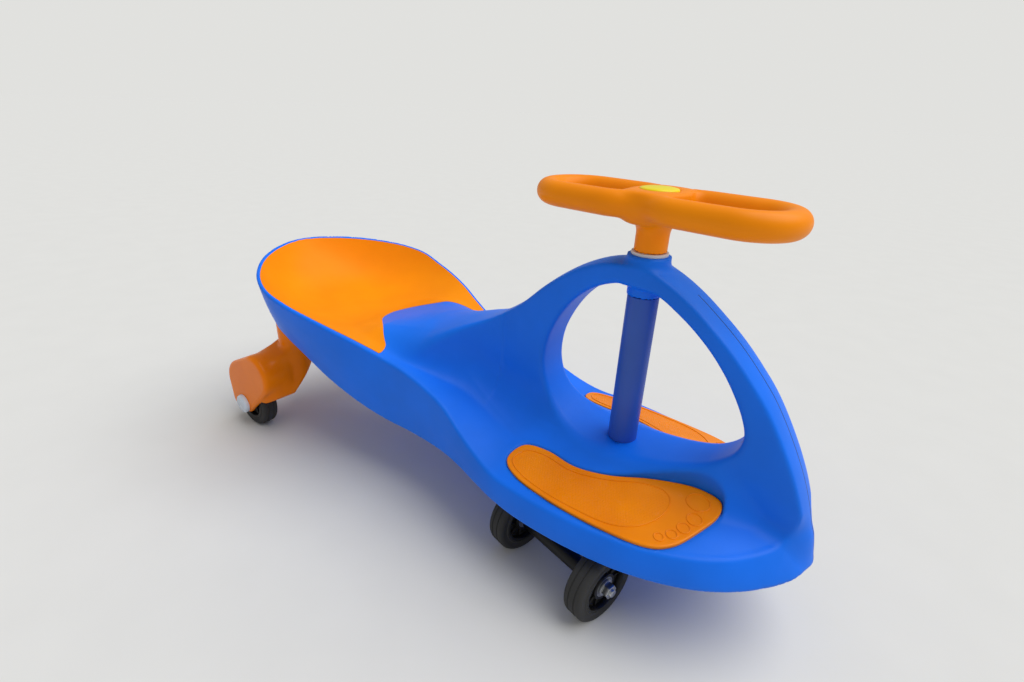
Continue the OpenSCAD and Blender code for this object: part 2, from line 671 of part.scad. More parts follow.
module hex_nut(h, r, bore) {
    difference() {
        cylinder(r = r, h = h, $fn = 6);
        translate([0, 0, -cut])
            cylinder(r = bore, h = h + 2 * cut);
    }
}

module wheel_nut() {
    color([0.72, 0.73, 0.75])
        at_axis()
            translate([0, 0, nut_seat])
                hex_nut(nut_high, nut_radius * wheel_nut_share, shaft_radius * thread_share);
}

module steering_shaft() {
    color([0.6, 0.61, 0.63])
        at_axis() {
            translate([0, 0, frame_boss_low])
                cylinder(r = shaft_radius, h = nut_seat - frame_boss_low);
            translate([0, 0, nut_seat])
                cylinder(r = shaft_radius * thread_share, h = shaft_top - nut_seat);
        }
}

module axle_frame() {
    color([0.06, 0.06, 0.07])
        turned()
            difference() {
                union() {
                    translate([0, 0, frame_boss_low])
                        cylinder(r = frame_boss, h = frame_top - frame_boss_low);
                    hull() {
                        translate([0, 0, frame_boss_low])
                            cylinder(r = frame_boss, h = arm_thick, $fn = hull_turn);
                        translate([axle_offset, 0, axle_z])
                            across_rod(bar_radius, -arm_thick, arm_thick, $fn = hull_turn);
                    }
                    translate([axle_offset, 0, axle_z])
                        across_rod(bar_radius, -bar_half, bar_half);
                }
                translate([0, 0, frame_boss_low])
                    cylinder(r = shaft_radius, h = frame_top - frame_boss_low + cut);
                for (s = [-1, 1])
                    translate([axle_offset, 0, axle_z])
                        mirror([0, s > 0 ? 0 : 1, 0])
                            across_rod(bolt_radius, bar_half - bolt_sunk, bar_half + cut);
            }
}

// Both ends of the front axle, drawn from the middle outwards along +Y.
module front_sides() {
    turned()
        translate([axle_offset, 0, axle_z])
            for (s = [-1, 1])
                mirror([0, s > 0 ? 0 : 1, 0])
                    children();
}

module front_axles() {
    color([0.72, 0.73, 0.75])
        front_sides()
            across_rod(bolt_radius, bar_half - bolt_sunk, hub_out + gap + washer_thick + nut_high + bolt_end);
}

module across_ring(ro, ri, from, to) {
    translate([0, from, 0])
        rotate([-90, 0, 0])
            tube(ro, ri, to - from);
}

module front_spacers() {
    color([0.72, 0.73, 0.75])
        front_sides()
            across_ring(spacer_radius, bolt_radius, bar_half, hub_in - gap);
}

module front_washers() {
    color([0.72, 0.73, 0.75])
        front_sides()
            across_ring(washer_radius, bolt_radius, hub_out + gap, hub_out + gap + washer_thick);
}

module front_nuts() {
    color([0.72, 0.73, 0.75])
        front_sides()
            translate([0, hub_out + gap + washer_thick, 0])
                rotate([-90, 0, 0])
                    hex_nut(nut_high, nut_radius, bolt_radius);
}

// Wheel pieces about the Y axis, middle at zero.
module wheel_tyre() {
    h = wheel_width / 2;
    rotate([90, 0, 0])
        rotate_extrude()
            polygon([[rim_radius, -h], [wheel_radius - shoulder, -h], [wheel_radius, shoulder - h],
                [wheel_radius, h - shoulder], [wheel_radius - shoulder, h], [rim_radius, h]]);
}

module wheel_hub() {
    h = wheel_width / 2;
    boss = bearing_radius + hub_wall;
    stop = bearing_radius - hub_lip;
    ring = rim_radius - hub_wall;
    web = hub_width / 4;
    seat = hub_half - bearing_width;
    rotate([90, 0, 0])
        rotate_extrude()
            polygon([[stop, -seat], [bearing_radius, -seat], [bearing_radius, -hub_half], [boss, -hub_half],
                [boss, -web], [ring, -web], [ring, -h], [rim_radius, -h], [rim_radius, h], [ring, h],
                [ring, web], [boss, web], [boss, hub_half], [bearing_radius, hub_half],
                [bearing_radius, seat], [stop, seat]]);
}

module wheel_bearings() {
    for (s = [-1, 1])
        mirror([0, s > 0 ? 0 : 1, 0])
            across_ring(bearing_radius, bolt_radius + run_fit, hub_half - bearing_width, hub_half);
}

module front_place(s) {
    turned()
        translate([axle_offset, s * wheel_mid, axle_z])
            children();
}

module rear_place(s) {
    at_axis()
        translate([rear_x, s * rear_half, axle_z])
            children();
}

module front_tyre_a() {
    color([0.04, 0.04, 0.04])
        front_place(1)
            wheel_tyre();
}

module front_hub_a() {
    color([0.07, 0.07, 0.07])
        front_place(1)
            wheel_hub();
}

module front_bearings_a() {
    color([0.6, 0.61, 0.63])
        front_place(1)
            wheel_bearings();
}

module front_tyre_b() {
    color([0.04, 0.04, 0.04])
        front_place(-1)
            wheel_tyre();
}

module front_hub_b() {
    color([0.07, 0.07, 0.07])
        front_place(-1)
            wheel_hub();
}

module front_bearings_b() {
    color([0.6, 0.61, 0.63])
        front_place(-1)
            wheel_bearings();
}

// A rear leg on the left side, about the wheel's middle.
module rear_leg() {
    difference() {
        union() {
            hull() {
                across_rod(hood_radius, -cheek_out, cheek_out, $fn = hull_turn);
                translate([0, 0, hood_rise])
                    across_rod(hood_big, -cheek_out, cheek_out, $fn = hull_turn);
                translate([knee_lead, 0, knee_rise])
                    across_rod(knee_radius, -cheek_out, 0, $fn = hull_turn);
            }
            hull() {
                translate([knee_lead, 0, knee_rise])
                    across_rod(knee_radius, -cheek_out, 0, $fn = hull_turn);
                translate([post_lead, -post_inset, socket_low - axle_z - post_radius])
                    cylinder(r = post_radius, h = post_radius, $fn = hull_turn);
            }
            translate([post_lead, -post_inset, socket_low - axle_z - post_radius])
                cylinder(r = post_radius, h = post_top - socket_low + post_radius);
        }
        across_rod(pocket_radius, -slot_half, slot_half);
        translate([-2 * wheel_radius, -slot_half, -2 * wheel_radius])
            cube([4 * wheel_radius, 2 * slot_half, 2 * wheel_radius]);
        across_rod(bolt_radius, -2 * cheek_out, 2 * cheek_out);
        translate([post_lead, -post_inset, post_top - axle_z - screw_long])
            cylinder(r = screw_radius, h = screw_long + cut);
    }
}

module rear_leg_right() {
    color([1, 0.45, 0.02])
        mirror([0, 1, 0])
            rear_place(1)
                rear_leg();
}

module rear_leg_left() {
    color([1, 0.45, 0.02])
        rear_place(1)
            rear_leg();
}

module leg_screws() {
    color([0.72, 0.73, 0.75])
        at_axis()
            for (s = [-1, 1])
                translate([socket_x, s * socket_y, 0]) {
                    translate([0, 0, screw_seat - screw_long])
                        cylinder(r = screw_radius, h = screw_long);
                    translate([0, 0, screw_seat])
                        cylinder(r = screw_head, h = screw_head_thick);
                }
}

// Axle bolt with its head against the inner cheek and a nut on the outer cheek.
module rear_axle() {
    across_rod(bolt_radius, -cheek_out, cheek_out + thin_nut);
    translate([0, -cheek_out - rear_head_thick, 0])
        rotate([-90, 0, 0])
            cylinder(r = nut_radius, h = rear_head_thick, $fn = 6);
}

module rear_axle_right() {
    color([0.72, 0.73, 0.75])
        mirror([0, 1, 0])
            rear_place(1)
                rear_axle();
}

module rear_axle_left() {
    color([0.72, 0.73, 0.75])
        rear_place(1)
            rear_axle();
}

module rear_nuts() {
    color([0.72, 0.73, 0.75])
        for (s = [0, 1])
            mirror([0, s, 0])
                rear_place(1)
                    translate([0, cheek_out, 0])
                        rotate([-90, 0, 0])
                            hex_nut(thin_nut, nut_radius, bolt_radius);
}

// Hollow cap over the nut, seated on the outer cheek.
module axle_cap() {
    translate([0, cheek_out, 0])
        rotate([-90, 0, 0])
            difference() {
                cylinder(r1 = axle_cap_radius, r2 = axle_cap_radius - cap_rise, h = thin_nut + cap_rise);
                translate([0, 0, -cut])
                    cylinder(r = nut_radius + seat_fit, h = thin_nut + seat_fit + cut);
            }
}

module axle_cap_right() {
    color([0.9, 0.92, 0.95])
        mirror([0, 1, 0])
            rear_place(1)
                axle_cap();
}

module axle_cap_left() {
    color([0.9, 0.92, 0.95])
        rear_place(1)
            axle_cap();
}

module rear_tyre_right() {
    color([0.04, 0.04, 0.04])
        rear_place(-1)
            wheel_tyre();
}

module rear_hub_right() {
    color([0.07, 0.07, 0.07])
        rear_place(-1)
            wheel_hub();
}

module rear_bearings_right() {
    color([0.6, 0.61, 0.63])
        rear_place(-1)
            wheel_bearings();
}

module rear_tyre_left() {
    color([0.04, 0.04, 0.04])
        rear_place(1)
            wheel_tyre();
}

module rear_hub_left() {
    color([0.07, 0.07, 0.07])
        rear_place(1)
            wheel_hub();
}

module rear_bearings_left() {
    color([0.6, 0.61, 0.63])
        rear_place(1)
            wheel_bearings();
}

body_shell();
seat_pad();
foot_pad_right();
foot_pad_left();
column_sleeve();
upper_bush();
lower_bush();
steering_wheel();
hub_cap();
wheel_nut();
steering_shaft();
axle_frame();
front_axles();
front_spacers();
front_washers();
front_nuts();
front_tyre_a();
front_hub_a();
front_bearings_a();
front_tyre_b();
front_hub_b();
front_bearings_b();
rear_leg_right();
rear_leg_left();
leg_screws();
rear_axle_right();
rear_axle_left();
rear_nuts();
axle_cap_right();
axle_cap_left();
rear_tyre_right();
rear_hub_right();
rear_bearings_right();
rear_tyre_left();
rear_hub_left();
rear_bearings_left();
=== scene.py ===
"""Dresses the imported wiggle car: moulded shell, seat, foot pads, steering wheel, legs and wheels."""

import logging
import math
from collections.abc import Callable, Sequence
from dataclasses import dataclass
from enum import Enum

import bmesh
import bpy
import numpy as np
from mathutils import Matrix, Vector


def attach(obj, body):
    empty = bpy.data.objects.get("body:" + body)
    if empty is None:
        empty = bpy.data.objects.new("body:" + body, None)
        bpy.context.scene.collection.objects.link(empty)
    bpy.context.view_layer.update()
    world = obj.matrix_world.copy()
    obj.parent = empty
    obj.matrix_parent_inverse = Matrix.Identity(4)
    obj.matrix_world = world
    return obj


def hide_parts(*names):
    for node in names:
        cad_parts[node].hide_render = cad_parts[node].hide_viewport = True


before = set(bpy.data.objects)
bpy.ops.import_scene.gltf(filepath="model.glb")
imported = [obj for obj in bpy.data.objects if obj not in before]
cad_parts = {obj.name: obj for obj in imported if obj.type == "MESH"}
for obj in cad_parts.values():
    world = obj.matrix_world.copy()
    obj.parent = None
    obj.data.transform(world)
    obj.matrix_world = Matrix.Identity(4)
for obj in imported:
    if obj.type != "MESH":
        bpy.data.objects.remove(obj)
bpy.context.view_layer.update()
log = logging.getLogger("wiggle_car")

MM = 0.001
# Pieces are drawn in millimetres about the steering axis, which stands this far along the row's X.
AXIS_X = 188.0
REAR_AXLE = (-533.0, 130.0, 39.0)
# Points nearer than this are one, in metres for copied nodes and in millimetres for spun pieces.
SAME_IN_COPY = 2e-6
SAME_IN_SPUN = 1e-3
# Angles in degrees: faces that count as flat, edges that are rounded, edges that stay crisp.
FLAT_ANGLE = 1.0
ROUND_ANGLE = 30.0
COPY_CREASE = 50.0
SPUN_CREASE = 40.0
BEAD_SIDES = 8
PEBBLE_SEGMENTS = 8
PEBBLE_RINGS = 5

Array = np.ndarray
Field = Callable[[Array, Array, Array], Array]
Colour = tuple[float, float, float]
Circle = tuple[float, float, float]
Profile = Sequence[tuple[float, float]]


class Side(Enum):
    """Side of the car a piece stands on."""

    RIGHT = -1
    LEFT = 1

    @property
    def tag(self) -> str:
        """Ending of the names of the side's pieces."""
        return self.name.lower()

    @property
    def mirror(self) -> Array:
        """Factors that take points of the left side to this one."""
        return np.array([1.0, self.value, 1.0])


class Relief(Enum):
    """Surface that a finish carries."""

    GRAIN = "grain"
    SMOOTH = "smooth"
    DRAWN = "drawn"


class Graph:
    """A node tree under construction."""

    def __init__(self, tree: bpy.types.NodeTree) -> None:
        """Takes the tree that is filled."""
        self.tree = tree

    def feed(self, socket: bpy.types.NodeSocket, value: object) -> None:
        """Links an input, or sets it.

        Args:
            socket: the input.
            value: another node's output, or a plain value.
        """
        if isinstance(value, bpy.types.NodeSocket):
            self.tree.links.new(value, socket)
        else:
            socket.default_value = value

    def fill(self, node: bpy.types.Node, **inputs: object) -> bpy.types.Node:
        """Feeds inputs of a node by name.

        Args:
            node: the node.
            inputs: what each input gets, with an underscore for each space in its name.

        Returns:
            The node.
        """
        for key, value in inputs.items():
            self.feed(node.inputs[key.replace("_", " ")], value)
        return node

    def add(self, kind: str, **inputs: object) -> bpy.types.Node:
        """Adds a node and feeds its inputs by name."""
        return self.fill(self.tree.nodes.new(kind), **inputs)

    def maths(self, operation: str, *terms: object) -> bpy.types.NodeSocket:
        """Adds a sum of outputs or plain numbers.

        Args:
            operation: what is done with the terms.
            terms: one or two terms.

        Returns:
            The result's socket.
        """
        node = self.add("ShaderNodeMath")
        node.operation = operation
        for socket, term in zip(node.inputs, terms):
            self.feed(socket, term)
        return node.outputs["Value"]


def linear(colour: Colour) -> tuple[float, float, float, float]:
    """Turns a display colour into a linear one with an alpha of one."""
    part = [c / 12.92 if c <= 0.04045 else ((c + 0.055) / 1.055) ** 2.4 for c in colour]
    return (part[0], part[1], part[2], 1.0)


@dataclass(frozen=True)
class Finish:
    """A moulded, painted or metal surface with its own grain, mottle and gloss. Sizes in millimetres."""

    name: str
    colour: Colour
    roughness: float
    relief: Relief = Relief.GRAIN
    grain: float = 0.8
    depth: float = 0.03
    mottle: float = 0.06
    metallic: float = 0.0
    coat: float = 0.0
    coat_roughness: float = 0.08
    sheen_spread: float = 0.06
    specular: float = 0.3
    blotch: float = 70.0
    blotch_stops: tuple[float, float] = (0.3, 0.7)
    wear: float = 24.0
    ripple: float = 14.0
    drawn_share: float = 0.05
    bump: float = 0.35
    least_roughness: float = 0.02

    # How many finer noises the blotches, the wear, the ripple and the grain hold.
    BLOTCH_OCTAVES = 3.0
    WEAR_OCTAVES = 4.0
    RIPPLE_OCTAVES = 1.0
    GRAIN_OCTAVES = 2.0

    def material(self) -> bpy.types.Material:
        """Builds the material once and gives it back on later calls.

        Returns:
            The material.
        """
        found = bpy.data.materials.get(self.name)
        if found:
            return found
        made = bpy.data.materials.new(self.name)
        made.use_nodes = True
        self.dress(Graph(made.node_tree))
        return made

    def dress(self, graph: Graph) -> None:
        """Lays out the nodes of the finish.

        Args:
            graph: the material's node tree.
        """
        place = graph.add("ShaderNodeTexCoord").outputs["Object"]
        graph.fill(graph.tree.nodes["Principled BSDF"],
                  Base_Color=self.shade(graph, place), Roughness=self.gloss(graph, place),
                  Normal=self.surface(graph, place), Metallic=self.metallic,
                  Specular_IOR_Level=self.specular, Coat_Weight=self.coat,
                  Coat_Roughness=self.coat_roughness)

    def noise(self, graph: Graph, place: bpy.types.NodeSocket, size: float,
              octaves: float) -> bpy.types.NodeSocket:
        """Adds a noise.

        Args:
            graph: the material's node tree.
            place: the coordinates that it reads.
            size: size of its blotches in millimetres.
            octaves: how many finer noises it holds.

        Returns:
            Its value socket.
        """
        node = graph.add("ShaderNodeTexNoise", Vector=place, Scale=1.0 / (size * MM), Detail=octaves)
        return node.outputs["Fac"]

    def shade(self, graph: Graph, place: bpy.types.NodeSocket) -> bpy.types.NodeSocket:
        """Varies the colour in broad, faint blotches.

        Args:
            graph: the material's node tree.
            place: the coordinates.

        Returns:
            The colour's socket.
        """
        blotches = self.noise(graph, place, self.blotch, self.BLOTCH_OCTAVES)
        blend = graph.add("ShaderNodeValToRGB", Fac=blotches)
        shares = (1 - self.mottle, 1 + self.mottle)
        for stop, position, share in zip(blend.color_ramp.elements, self.blotch_stops, shares):
            stop.color = linear(tuple(min(1.0, c * share) for c in self.colour))
            stop.position = position
        return blend.outputs["Color"]

    def gloss(self, graph: Graph, place: bpy.types.NodeSocket) -> bpy.types.NodeSocket:
        """Varies the gloss as handling and moulding do.

        Args:
            graph: the material's node tree.
            place: the coordinates.

        Returns:
            The roughness socket.
        """
        low, high = self.roughness - self.sheen_spread, self.roughness + self.sheen_spread
        wear = self.noise(graph, place, self.wear, self.WEAR_OCTAVES)
        spread = graph.add("ShaderNodeMapRange", Value=wear, To_Min=max(self.least_roughness, low),
                           To_Max=min(1.0, high))
        return spread.outputs["Result"]

    def surface(self, graph: Graph, place: bpy.types.NodeSocket) -> bpy.types.NodeSocket:
        """Adds the fine relief of the surface.

        Args:
            graph: the material's node tree.
            place: the coordinates.

        Returns:
            The normal's socket.
        """
        if self.relief is Relief.DRAWN:
            stretch = graph.add("ShaderNodeMapping", Vector=place, Scale=(1.0, 1.0, self.drawn_share))
            place = stretch.outputs["Vector"]
        size, octaves = self.grain, self.GRAIN_OCTAVES
        if self.relief is Relief.SMOOTH:
            size, octaves = self.ripple, self.RIPPLE_OCTAVES
        bump = graph.add("ShaderNodeBump", Strength=self.bump, Distance=self.depth * MM,
                         Height=self.noise(graph, place, size, octaves))
        return bump.outputs["Normal"]


@dataclass(frozen=True)
class SeamShadedFinish(Finish):
    """A moulded surface with the shade of a fine mould-line groove painted as a dark line down the middle of
    the arch's front leg.
    """

    seam: float = 0.7
    seam_from: float = 395.0
    seam_lean: float = 0.5
    # Share of the colour that is left in the painted shade of the groove.
    seam_shade_share: float = 0.45

    def shade(self, graph: Graph, place: bpy.types.NodeSocket) -> bpy.types.NodeSocket:
        """Varies the colour and paints the shade of the mould line's groove as a dark line along the seam.

        Args:
            graph: the material's node tree.
            place: the coordinates.

        Returns:
            The colour's socket.
        """
        # Painted shade: along the mould line the colour is darkened to stand in for the shade inside its fine
        # groove.
        parts = graph.add("ShaderNodeSeparateXYZ", Vector=place).outputs
        near = graph.maths("LESS_THAN", graph.maths("ABSOLUTE", parts["Y"]), self.seam * MM)
        reach = graph.maths("ADD", parts["X"], graph.maths("MULTIPLY", parts["Z"], self.seam_lean))
        ahead = graph.maths("GREATER_THAN", reach, self.seam_from * MM)
        blend = graph.add("ShaderNodeMix")
        blend.data_type = "RGBA"
        colours = [socket for socket in blend.inputs if socket.type == "RGBA"]
        graph.feed(blend.inputs["Factor"], graph.maths("MULTIPLY", near, ahead))
        graph.feed(colours[0], super().shade(graph, place))
        graph.feed(colours[1], linear(tuple(self.seam_shade_share * c for c in self.colour)))
        return next(socket for socket in blend.outputs if socket.type == "RGBA")


SHELL_BLUE = SeamShadedFinish("moulded_shell_blue", (0.05, 0.445, 0.95), 0.46, grain=0.9, depth=0.05,
                          mottle=0.03, specular=0.2)
SEAT_ORANGE = Finish("moulded_seat_orange", (1.0, 0.57, 0.0), 0.52, grain=1.1, depth=0.05, mottle=0.03,
                     specular=0.12)
PAD_ORANGE = Finish("glossy_pad_orange", (1.0, 0.54, 0.0), 0.26, Relief.SMOOTH, depth=0.05, coat=0.1,
                    specular=0.15)
GRIP_ORANGE = Finish("soft_grip_orange", (1.0, 0.56, 0.0), 0.42, grain=0.7, mottle=0.03, specular=0.15)
LEG_ORANGE = Finish("glossy_leg_orange", (1.0, 0.5, 0.0), 0.24, Relief.SMOOTH, depth=0.06, coat=0.04,
                    specular=0.12)
CAP_YELLOW = Finish("hub_cap_yellow", (0.97, 0.88, 0.06), 0.34, Relief.SMOOTH)
CAP_WHITE = Finish("axle_cap_white", (0.84, 0.88, 0.93), 0.28, Relief.SMOOTH)
SLEEVE_BLUE = Finish("column_sleeve_blue", (0.2, 0.36, 0.72), 0.42, mottle=0.04)
BUSH_GREY = Finish("bush_pale_grey", (0.8, 0.81, 0.83), 0.38, Relief.SMOOTH, depth=0.02)
FRAME_BLACK = Finish("powder_black", (0.045, 0.045, 0.05), 0.4, grain=0.6, depth=0.05)
TYRE_BLACK = Finish("tyre_black", (0.05, 0.05, 0.052), 0.5, grain=0.7, depth=0.06, mottle=0.15)
HUB_BLACK = Finish("wheel_hub_black", (0.06, 0.06, 0.063), 0.36, mottle=0.1)
ZINC = Finish("zinc_plate", (0.74, 0.75, 0.76), 0.3, Relief.DRAWN, grain=0.5, metallic=1.0)
STEEL = Finish("drawn_steel", (0.62, 0.63, 0.65), 0.32, Relief.DRAWN, grain=0.5, metallic=1.0)


def soft_min(a: Array, b: Array, blend: Array | float) -> Array:
    """Union of two fields with a fillet of about the blend's size."""
    part = np.clip(0.5 + 0.5 * (b - a) / blend, 0.0, 1.0)
    return b + (a - b) * part - blend * part * (1.0 - part)


def soft_max(a: Array, b: Array, blend: Array | float) -> Array:
    """Overlap of two fields with a rounded edge of about the blend's size."""
    return -soft_min(-a, -b, blend)


def ramp(value: Array, start: float, end: float) -> Array:
    """Smooth step from 0 at the start value to 1 at the end value."""
    part = np.clip((value - start) / (end - start), 0.0, 1.0)
    return part * part * (3.0 - 2.0 * part)


def round_cone(x: Array, z: Array, a: Circle, b: Circle) -> Array:
    """Distance to the hull of two circles.

    Args:
        x: first coordinates.
        z: second coordinates.
        a: middle and radius of one circle.
        b: middle and radius of the other.

    Returns:
        The distances, negative inside.
    """
    ex, ez = b[0] - a[0], b[1] - a[1]
    size = math.hypot(ex, ez)
    slope = (a[2] - b[2]) / size
    rise = math.sqrt(max(0.0, 1 - slope * slope))
    px, pz = x - a[0], z - a[1]
    along = (px * ex + pz * ez) / size
    off = np.abs(px * ez - pz * ex) / size
    k = along * rise - off * slope
    near = np.hypot(along, off) - a[2]
    far = np.hypot(along - size, off) - b[2]
    side = off * rise + along * slope - a[2]
    return np.where(k < 0, near, np.where(k > rise * size, far, side))


def spline(points: Sequence[Sequence[float]], count: int, closed: bool = False) -> Array:
    """Draws a smooth curve through points.

    Args:
        points: the points, of any dimension.
        count: how many points to give back.
        closed: True for a loop.

    Returns:
        The curve's points, one row each.
    """
    p = np.array(points, float)
    n = len(p)
    f = np.linspace(0, n if closed else n - 1, count, endpoint=not closed)
    i = np.floor(f).astype(int)
    if not closed:
        i = np.minimum(i, n - 2)
    t = (f - i)[:, None]
    a, b, c, d = (p[(i + k) % n] if closed else p[np.clip(i + k, 0, n - 1)] for k in (-1, 0, 1, 2))
    return b + t / 2 * ((c - a) + t * ((2 * a - 5 * b + 4 * c - d) + t * (3 * b - a - 3 * c + d)))


def loop_distance(loop: Array, x: Array, y: Array) -> Array:
    """Signed distance from points to a closed loop, negative inside.

    Args:
        loop: the loop's corners, one row each.
        x: first coordinates.
        y: second coordinates.

    Returns:
        The distances, in the shape of x.
    """
    best = np.full(x.shape, np.inf)
    odd = np.zeros(x.shape, bool)
    for (ax, ay), (bx, by) in zip(loop, np.roll(loop, -1, axis=0)):
        ex, ey = bx - ax, by - ay
        share = np.clip(((x - ax) * ex + (y - ay) * ey) / max(ex * ex + ey * ey, 1e-12), 0, 1)
        best = np.minimum(best, (x - ax - share * ex) ** 2 + (y - ay - share * ey) ** 2)
        if ey:
            odd ^= ((ay > y) != (by > y)) & (x < ax + (y - ay) * ex / ey)
    return np.where(odd, -1.0, 1.0) * np.sqrt(best)


def grid(low: Sequence[float], high: Sequence[float], step: float) -> list[Array]:
    """Coordinates of a flat grid's points, one array for each axis."""
    return np.meshgrid(*(np.arange(a, b, step) for a, b in zip(low, high)), indexing="ij")


def to_row(points: Array) -> Array:
    """Turns millimetres about the steering axis into metres in the row frame."""
    return (np.asarray(points, float) + np.array([AXIS_X, 0.0, 0.0])) * MM


@dataclass
class Table:
    """Values on a regular grid of two or three axes, read between its points."""

    low: Sequence[float]
    step: Sequence[float]
    values: Array

    def at(self, *where: Array) -> Array:
        """Reads the table at points, held at its edges.

        Args:
            where: the points' coordinates, one array for each axis.

        Returns:
            The values there.
        """
        cell, part = [], []
        for axis, place in enumerate(where):
            f = np.clip((place - self.low[axis]) / self.step[axis], 0, self.values.shape[axis] - 1.001)
            whole = f.astype(int)
            cell.append(whole)
            part.append(f - whole)
        total = 0.0
        for corner in np.ndindex(*([2] * len(where))):
            weight = 1.0
            for bit, share in zip(corner, part):
                weight = weight * (share if bit else 1.0 - share)
            total = total + weight * self.values[tuple(c + b for c, b in zip(cell, corner))]
        return total


@dataclass
class Mesher:
    """Turns a field that is negative inside into one closed mesh of even quads."""

    low: tuple[float, float, float]
    high: tuple[float, float, float]
    cell: float
    reach_share: float = 0.2
    move_share: float = 0.5
    least_slope: float = 0.05

    def sample(self, field: Field) -> Array:
        """Evaluates the field on the grid, slice by slice.

        Args:
            field: the field, in millimetres.

        Returns:
            Its values at the grid's points.
        """
        count = [int(math.ceil((h - b) / self.cell)) + 1 for b, h in zip(self.low, self.high)]
        xs, ys, zs = (b + self.cell * np.arange(n) for b, n in zip(self.low, count))
        x, y = np.meshgrid(xs, ys, indexing="ij")
        values = np.empty(count, np.float32)
        for k, z in enumerate(zs):
            values[:, :, k] = field(x, y, np.full_like(x, z))
        return values

    def run(self, field: Field) -> tuple[Array, Array]:
        """Meshes the field and draws its points onto the surface.

        Args:
            field: the field, in millimetres.

        Returns:
            Points in millimetres and quads that face outwards.
        """
        values = self.sample(field)
        inside = values < 0
        nx, ny, nz = (n - 1 for n in inside.shape)
        near = [inside[a:nx + a, b:ny + b, c:nz + c] for a, b, c in np.ndindex(2, 2, 2)]
        some, every = np.logical_or.reduce(near), np.logical_and.reduce(near)
        cells = np.argwhere(some & ~every)
        index = np.full(some.shape, -1, np.int64)
        index[tuple(cells.T)] = np.arange(len(cells))
        points = np.array(self.low) + self.cell * (cells + self.middles(values, cells))
        quads = np.concatenate([self.quads(inside, index, axis) for axis in range(3)])
        return self.settle(field, points), quads

    @staticmethod
    def middles(values: Array, cells: Array) -> Array:
        """Mean of the crossings on each cell's edges.

        Args:
            values: the field's values on the grid.
            cells: the cells that the surface crosses, one row each.

        Returns:
            A point in each cell, as shares of the cell.
        """
        total, number = np.zeros((len(cells), 3)), np.zeros(len(cells))
        for axis, b, c in np.ndindex(3, 2, 2):
            start = np.zeros(3, int)
            start[(axis + 1) % 3], start[(axis + 2) % 3] = b, c
            end = start.copy()
            end[axis] = 1
            fa, fb = values[tuple((cells + start).T)], values[tuple((cells + end).T)]
            crossed = (fa < 0) != (fb < 0)
            share = np.where(crossed, fa / np.where(crossed, fa - fb, 1.0), 0.0)
            total += np.where(crossed[:, None], start + share[:, None] * (end - start), 0.0)
            number += crossed
        return total / number[:, None]

    @staticmethod
    def quads(inside: Array, index: Array, axis: int) -> Array:
        """Quads round the grid edges of one axis that cross the surface.

        Args:
            inside: True for grid points inside the shape.
            index: number of each cell's point.
            axis: the edges' axis.

        Returns:
            The quads, one row each.
        """
        first = np.take(inside, range(inside.shape[axis] - 1), axis=axis)
        last = np.take(inside, range(1, inside.shape[axis]), axis=axis)
        at = np.argwhere(first != last)
        b, c = (axis + 1) % 3, (axis + 2) % 3
        room = (at[:, b] > 0) & (at[:, c] > 0) & (at[:, b] < index.shape[b]) & (at[:, c] < index.shape[c])
        at = at[room]
        corners = []
        for db, dc in ((-1, -1), (0, -1), (0, 0), (-1, 0)):
            near = at.copy()
            near[:, b] += db
            near[:, c] += dc
            corners.append(index[tuple(near.T)])
        quads = np.stack(corners, axis=1)
        leaving = inside[tuple(at.T)]
        return np.where(leaving[:, None], quads, quads[:, ::-1])

    def settle(self, field: Field, points: Array, rounds: int = 3) -> Array:
        """Moves points along the field's slope onto its zero surface.

        Args:
            field: the field.
            points: the points, one row each.
            rounds: how often they are moved.

        Returns:
            The moved points.
        """
        reach, most = self.reach_share * self.cell, self.move_share * self.cell
        for _ in range(rounds):
            value = field(*points.T)
            slope = np.stack([(field(*(points + d).T) - field(*(points - d).T)) / (2 * reach)
                              for d in reach * np.eye(3)], axis=1)
            size = np.maximum(np.sum(slope * slope, axis=1), self.least_slope)
            step = np.clip(-value / size, -most, most)[:, None] * slope
            points = points + np.clip(step, -most, most)
        return points


def link_object(name: str, data: bpy.types.ID) -> bpy.types.Object:
    """Makes an object of a mesh, lamp or camera and links it to the scene.

    Args:
        name: the object's name.
        data: what it holds.

    Returns:
        The object.
    """
    made = bpy.data.objects.new(name, data)
    bpy.context.scene.collection.objects.link(made)
    return made


def paint(mesh: bpy.types.Mesh, finish: Finish) -> None:
    """Gives a mesh one finish and no other."""
    mesh.materials.clear()
    mesh.materials.append(finish.material())


def smooth_object(name: str, mesh: bpy.types.Mesh, finish: Finish) -> bpy.types.Object:
    """Makes a smooth, painted object of a mesh.

    Args:
        name: the object's name.
        mesh: the mesh, in metres in the row frame.
        finish: the finish that it gets.

    Returns:
        The object.
    """
    mesh.polygons.foreach_set("use_smooth", [True] * len(mesh.polygons))
    paint(mesh, finish)
    return link_object(name, mesh)


def make_object(name: str, points: Array, faces: Array | Sequence[Sequence[int]],
                finish: Finish) -> bpy.types.Object:
    """Makes a smooth mesh object at the origin.

    Args:
        name: the object's name.
        points: points in metres, in the row frame.
        faces: indices of each face's corners.
        finish: the finish that it gets.

    Returns:
        The object.
    """
    mesh = bpy.data.meshes.new(name)
    corners = faces.tolist() if isinstance(faces, np.ndarray) else faces
    mesh.from_pydata(np.asarray(points).tolist(), [], corners)
    mesh.update()
    return smooth_object(name, mesh, finish)


def crease(obj: bpy.types.Object, angle: float) -> None:
    """Keeps a piece's edges crisp past an angle in degrees."""
    obj.data.set_sharp_from_angle(angle=math.radians(angle))


def add_bevel(obj: bpy.types.Object, width: float, angle: float) -> None:
    """Rounds the edges of a piece by a modifier.

    Args:
        obj: the piece.
        width: width of the rounding in millimetres.
        angle: least angle of an edge that is rounded, in degrees.
    """
    bevel = obj.modifiers.new("rounding", "BEVEL")
    bevel.width = width * MM
    bevel.segments = 3
    bevel.limit_method = "ANGLE"
    bevel.angle_limit = math.radians(angle)


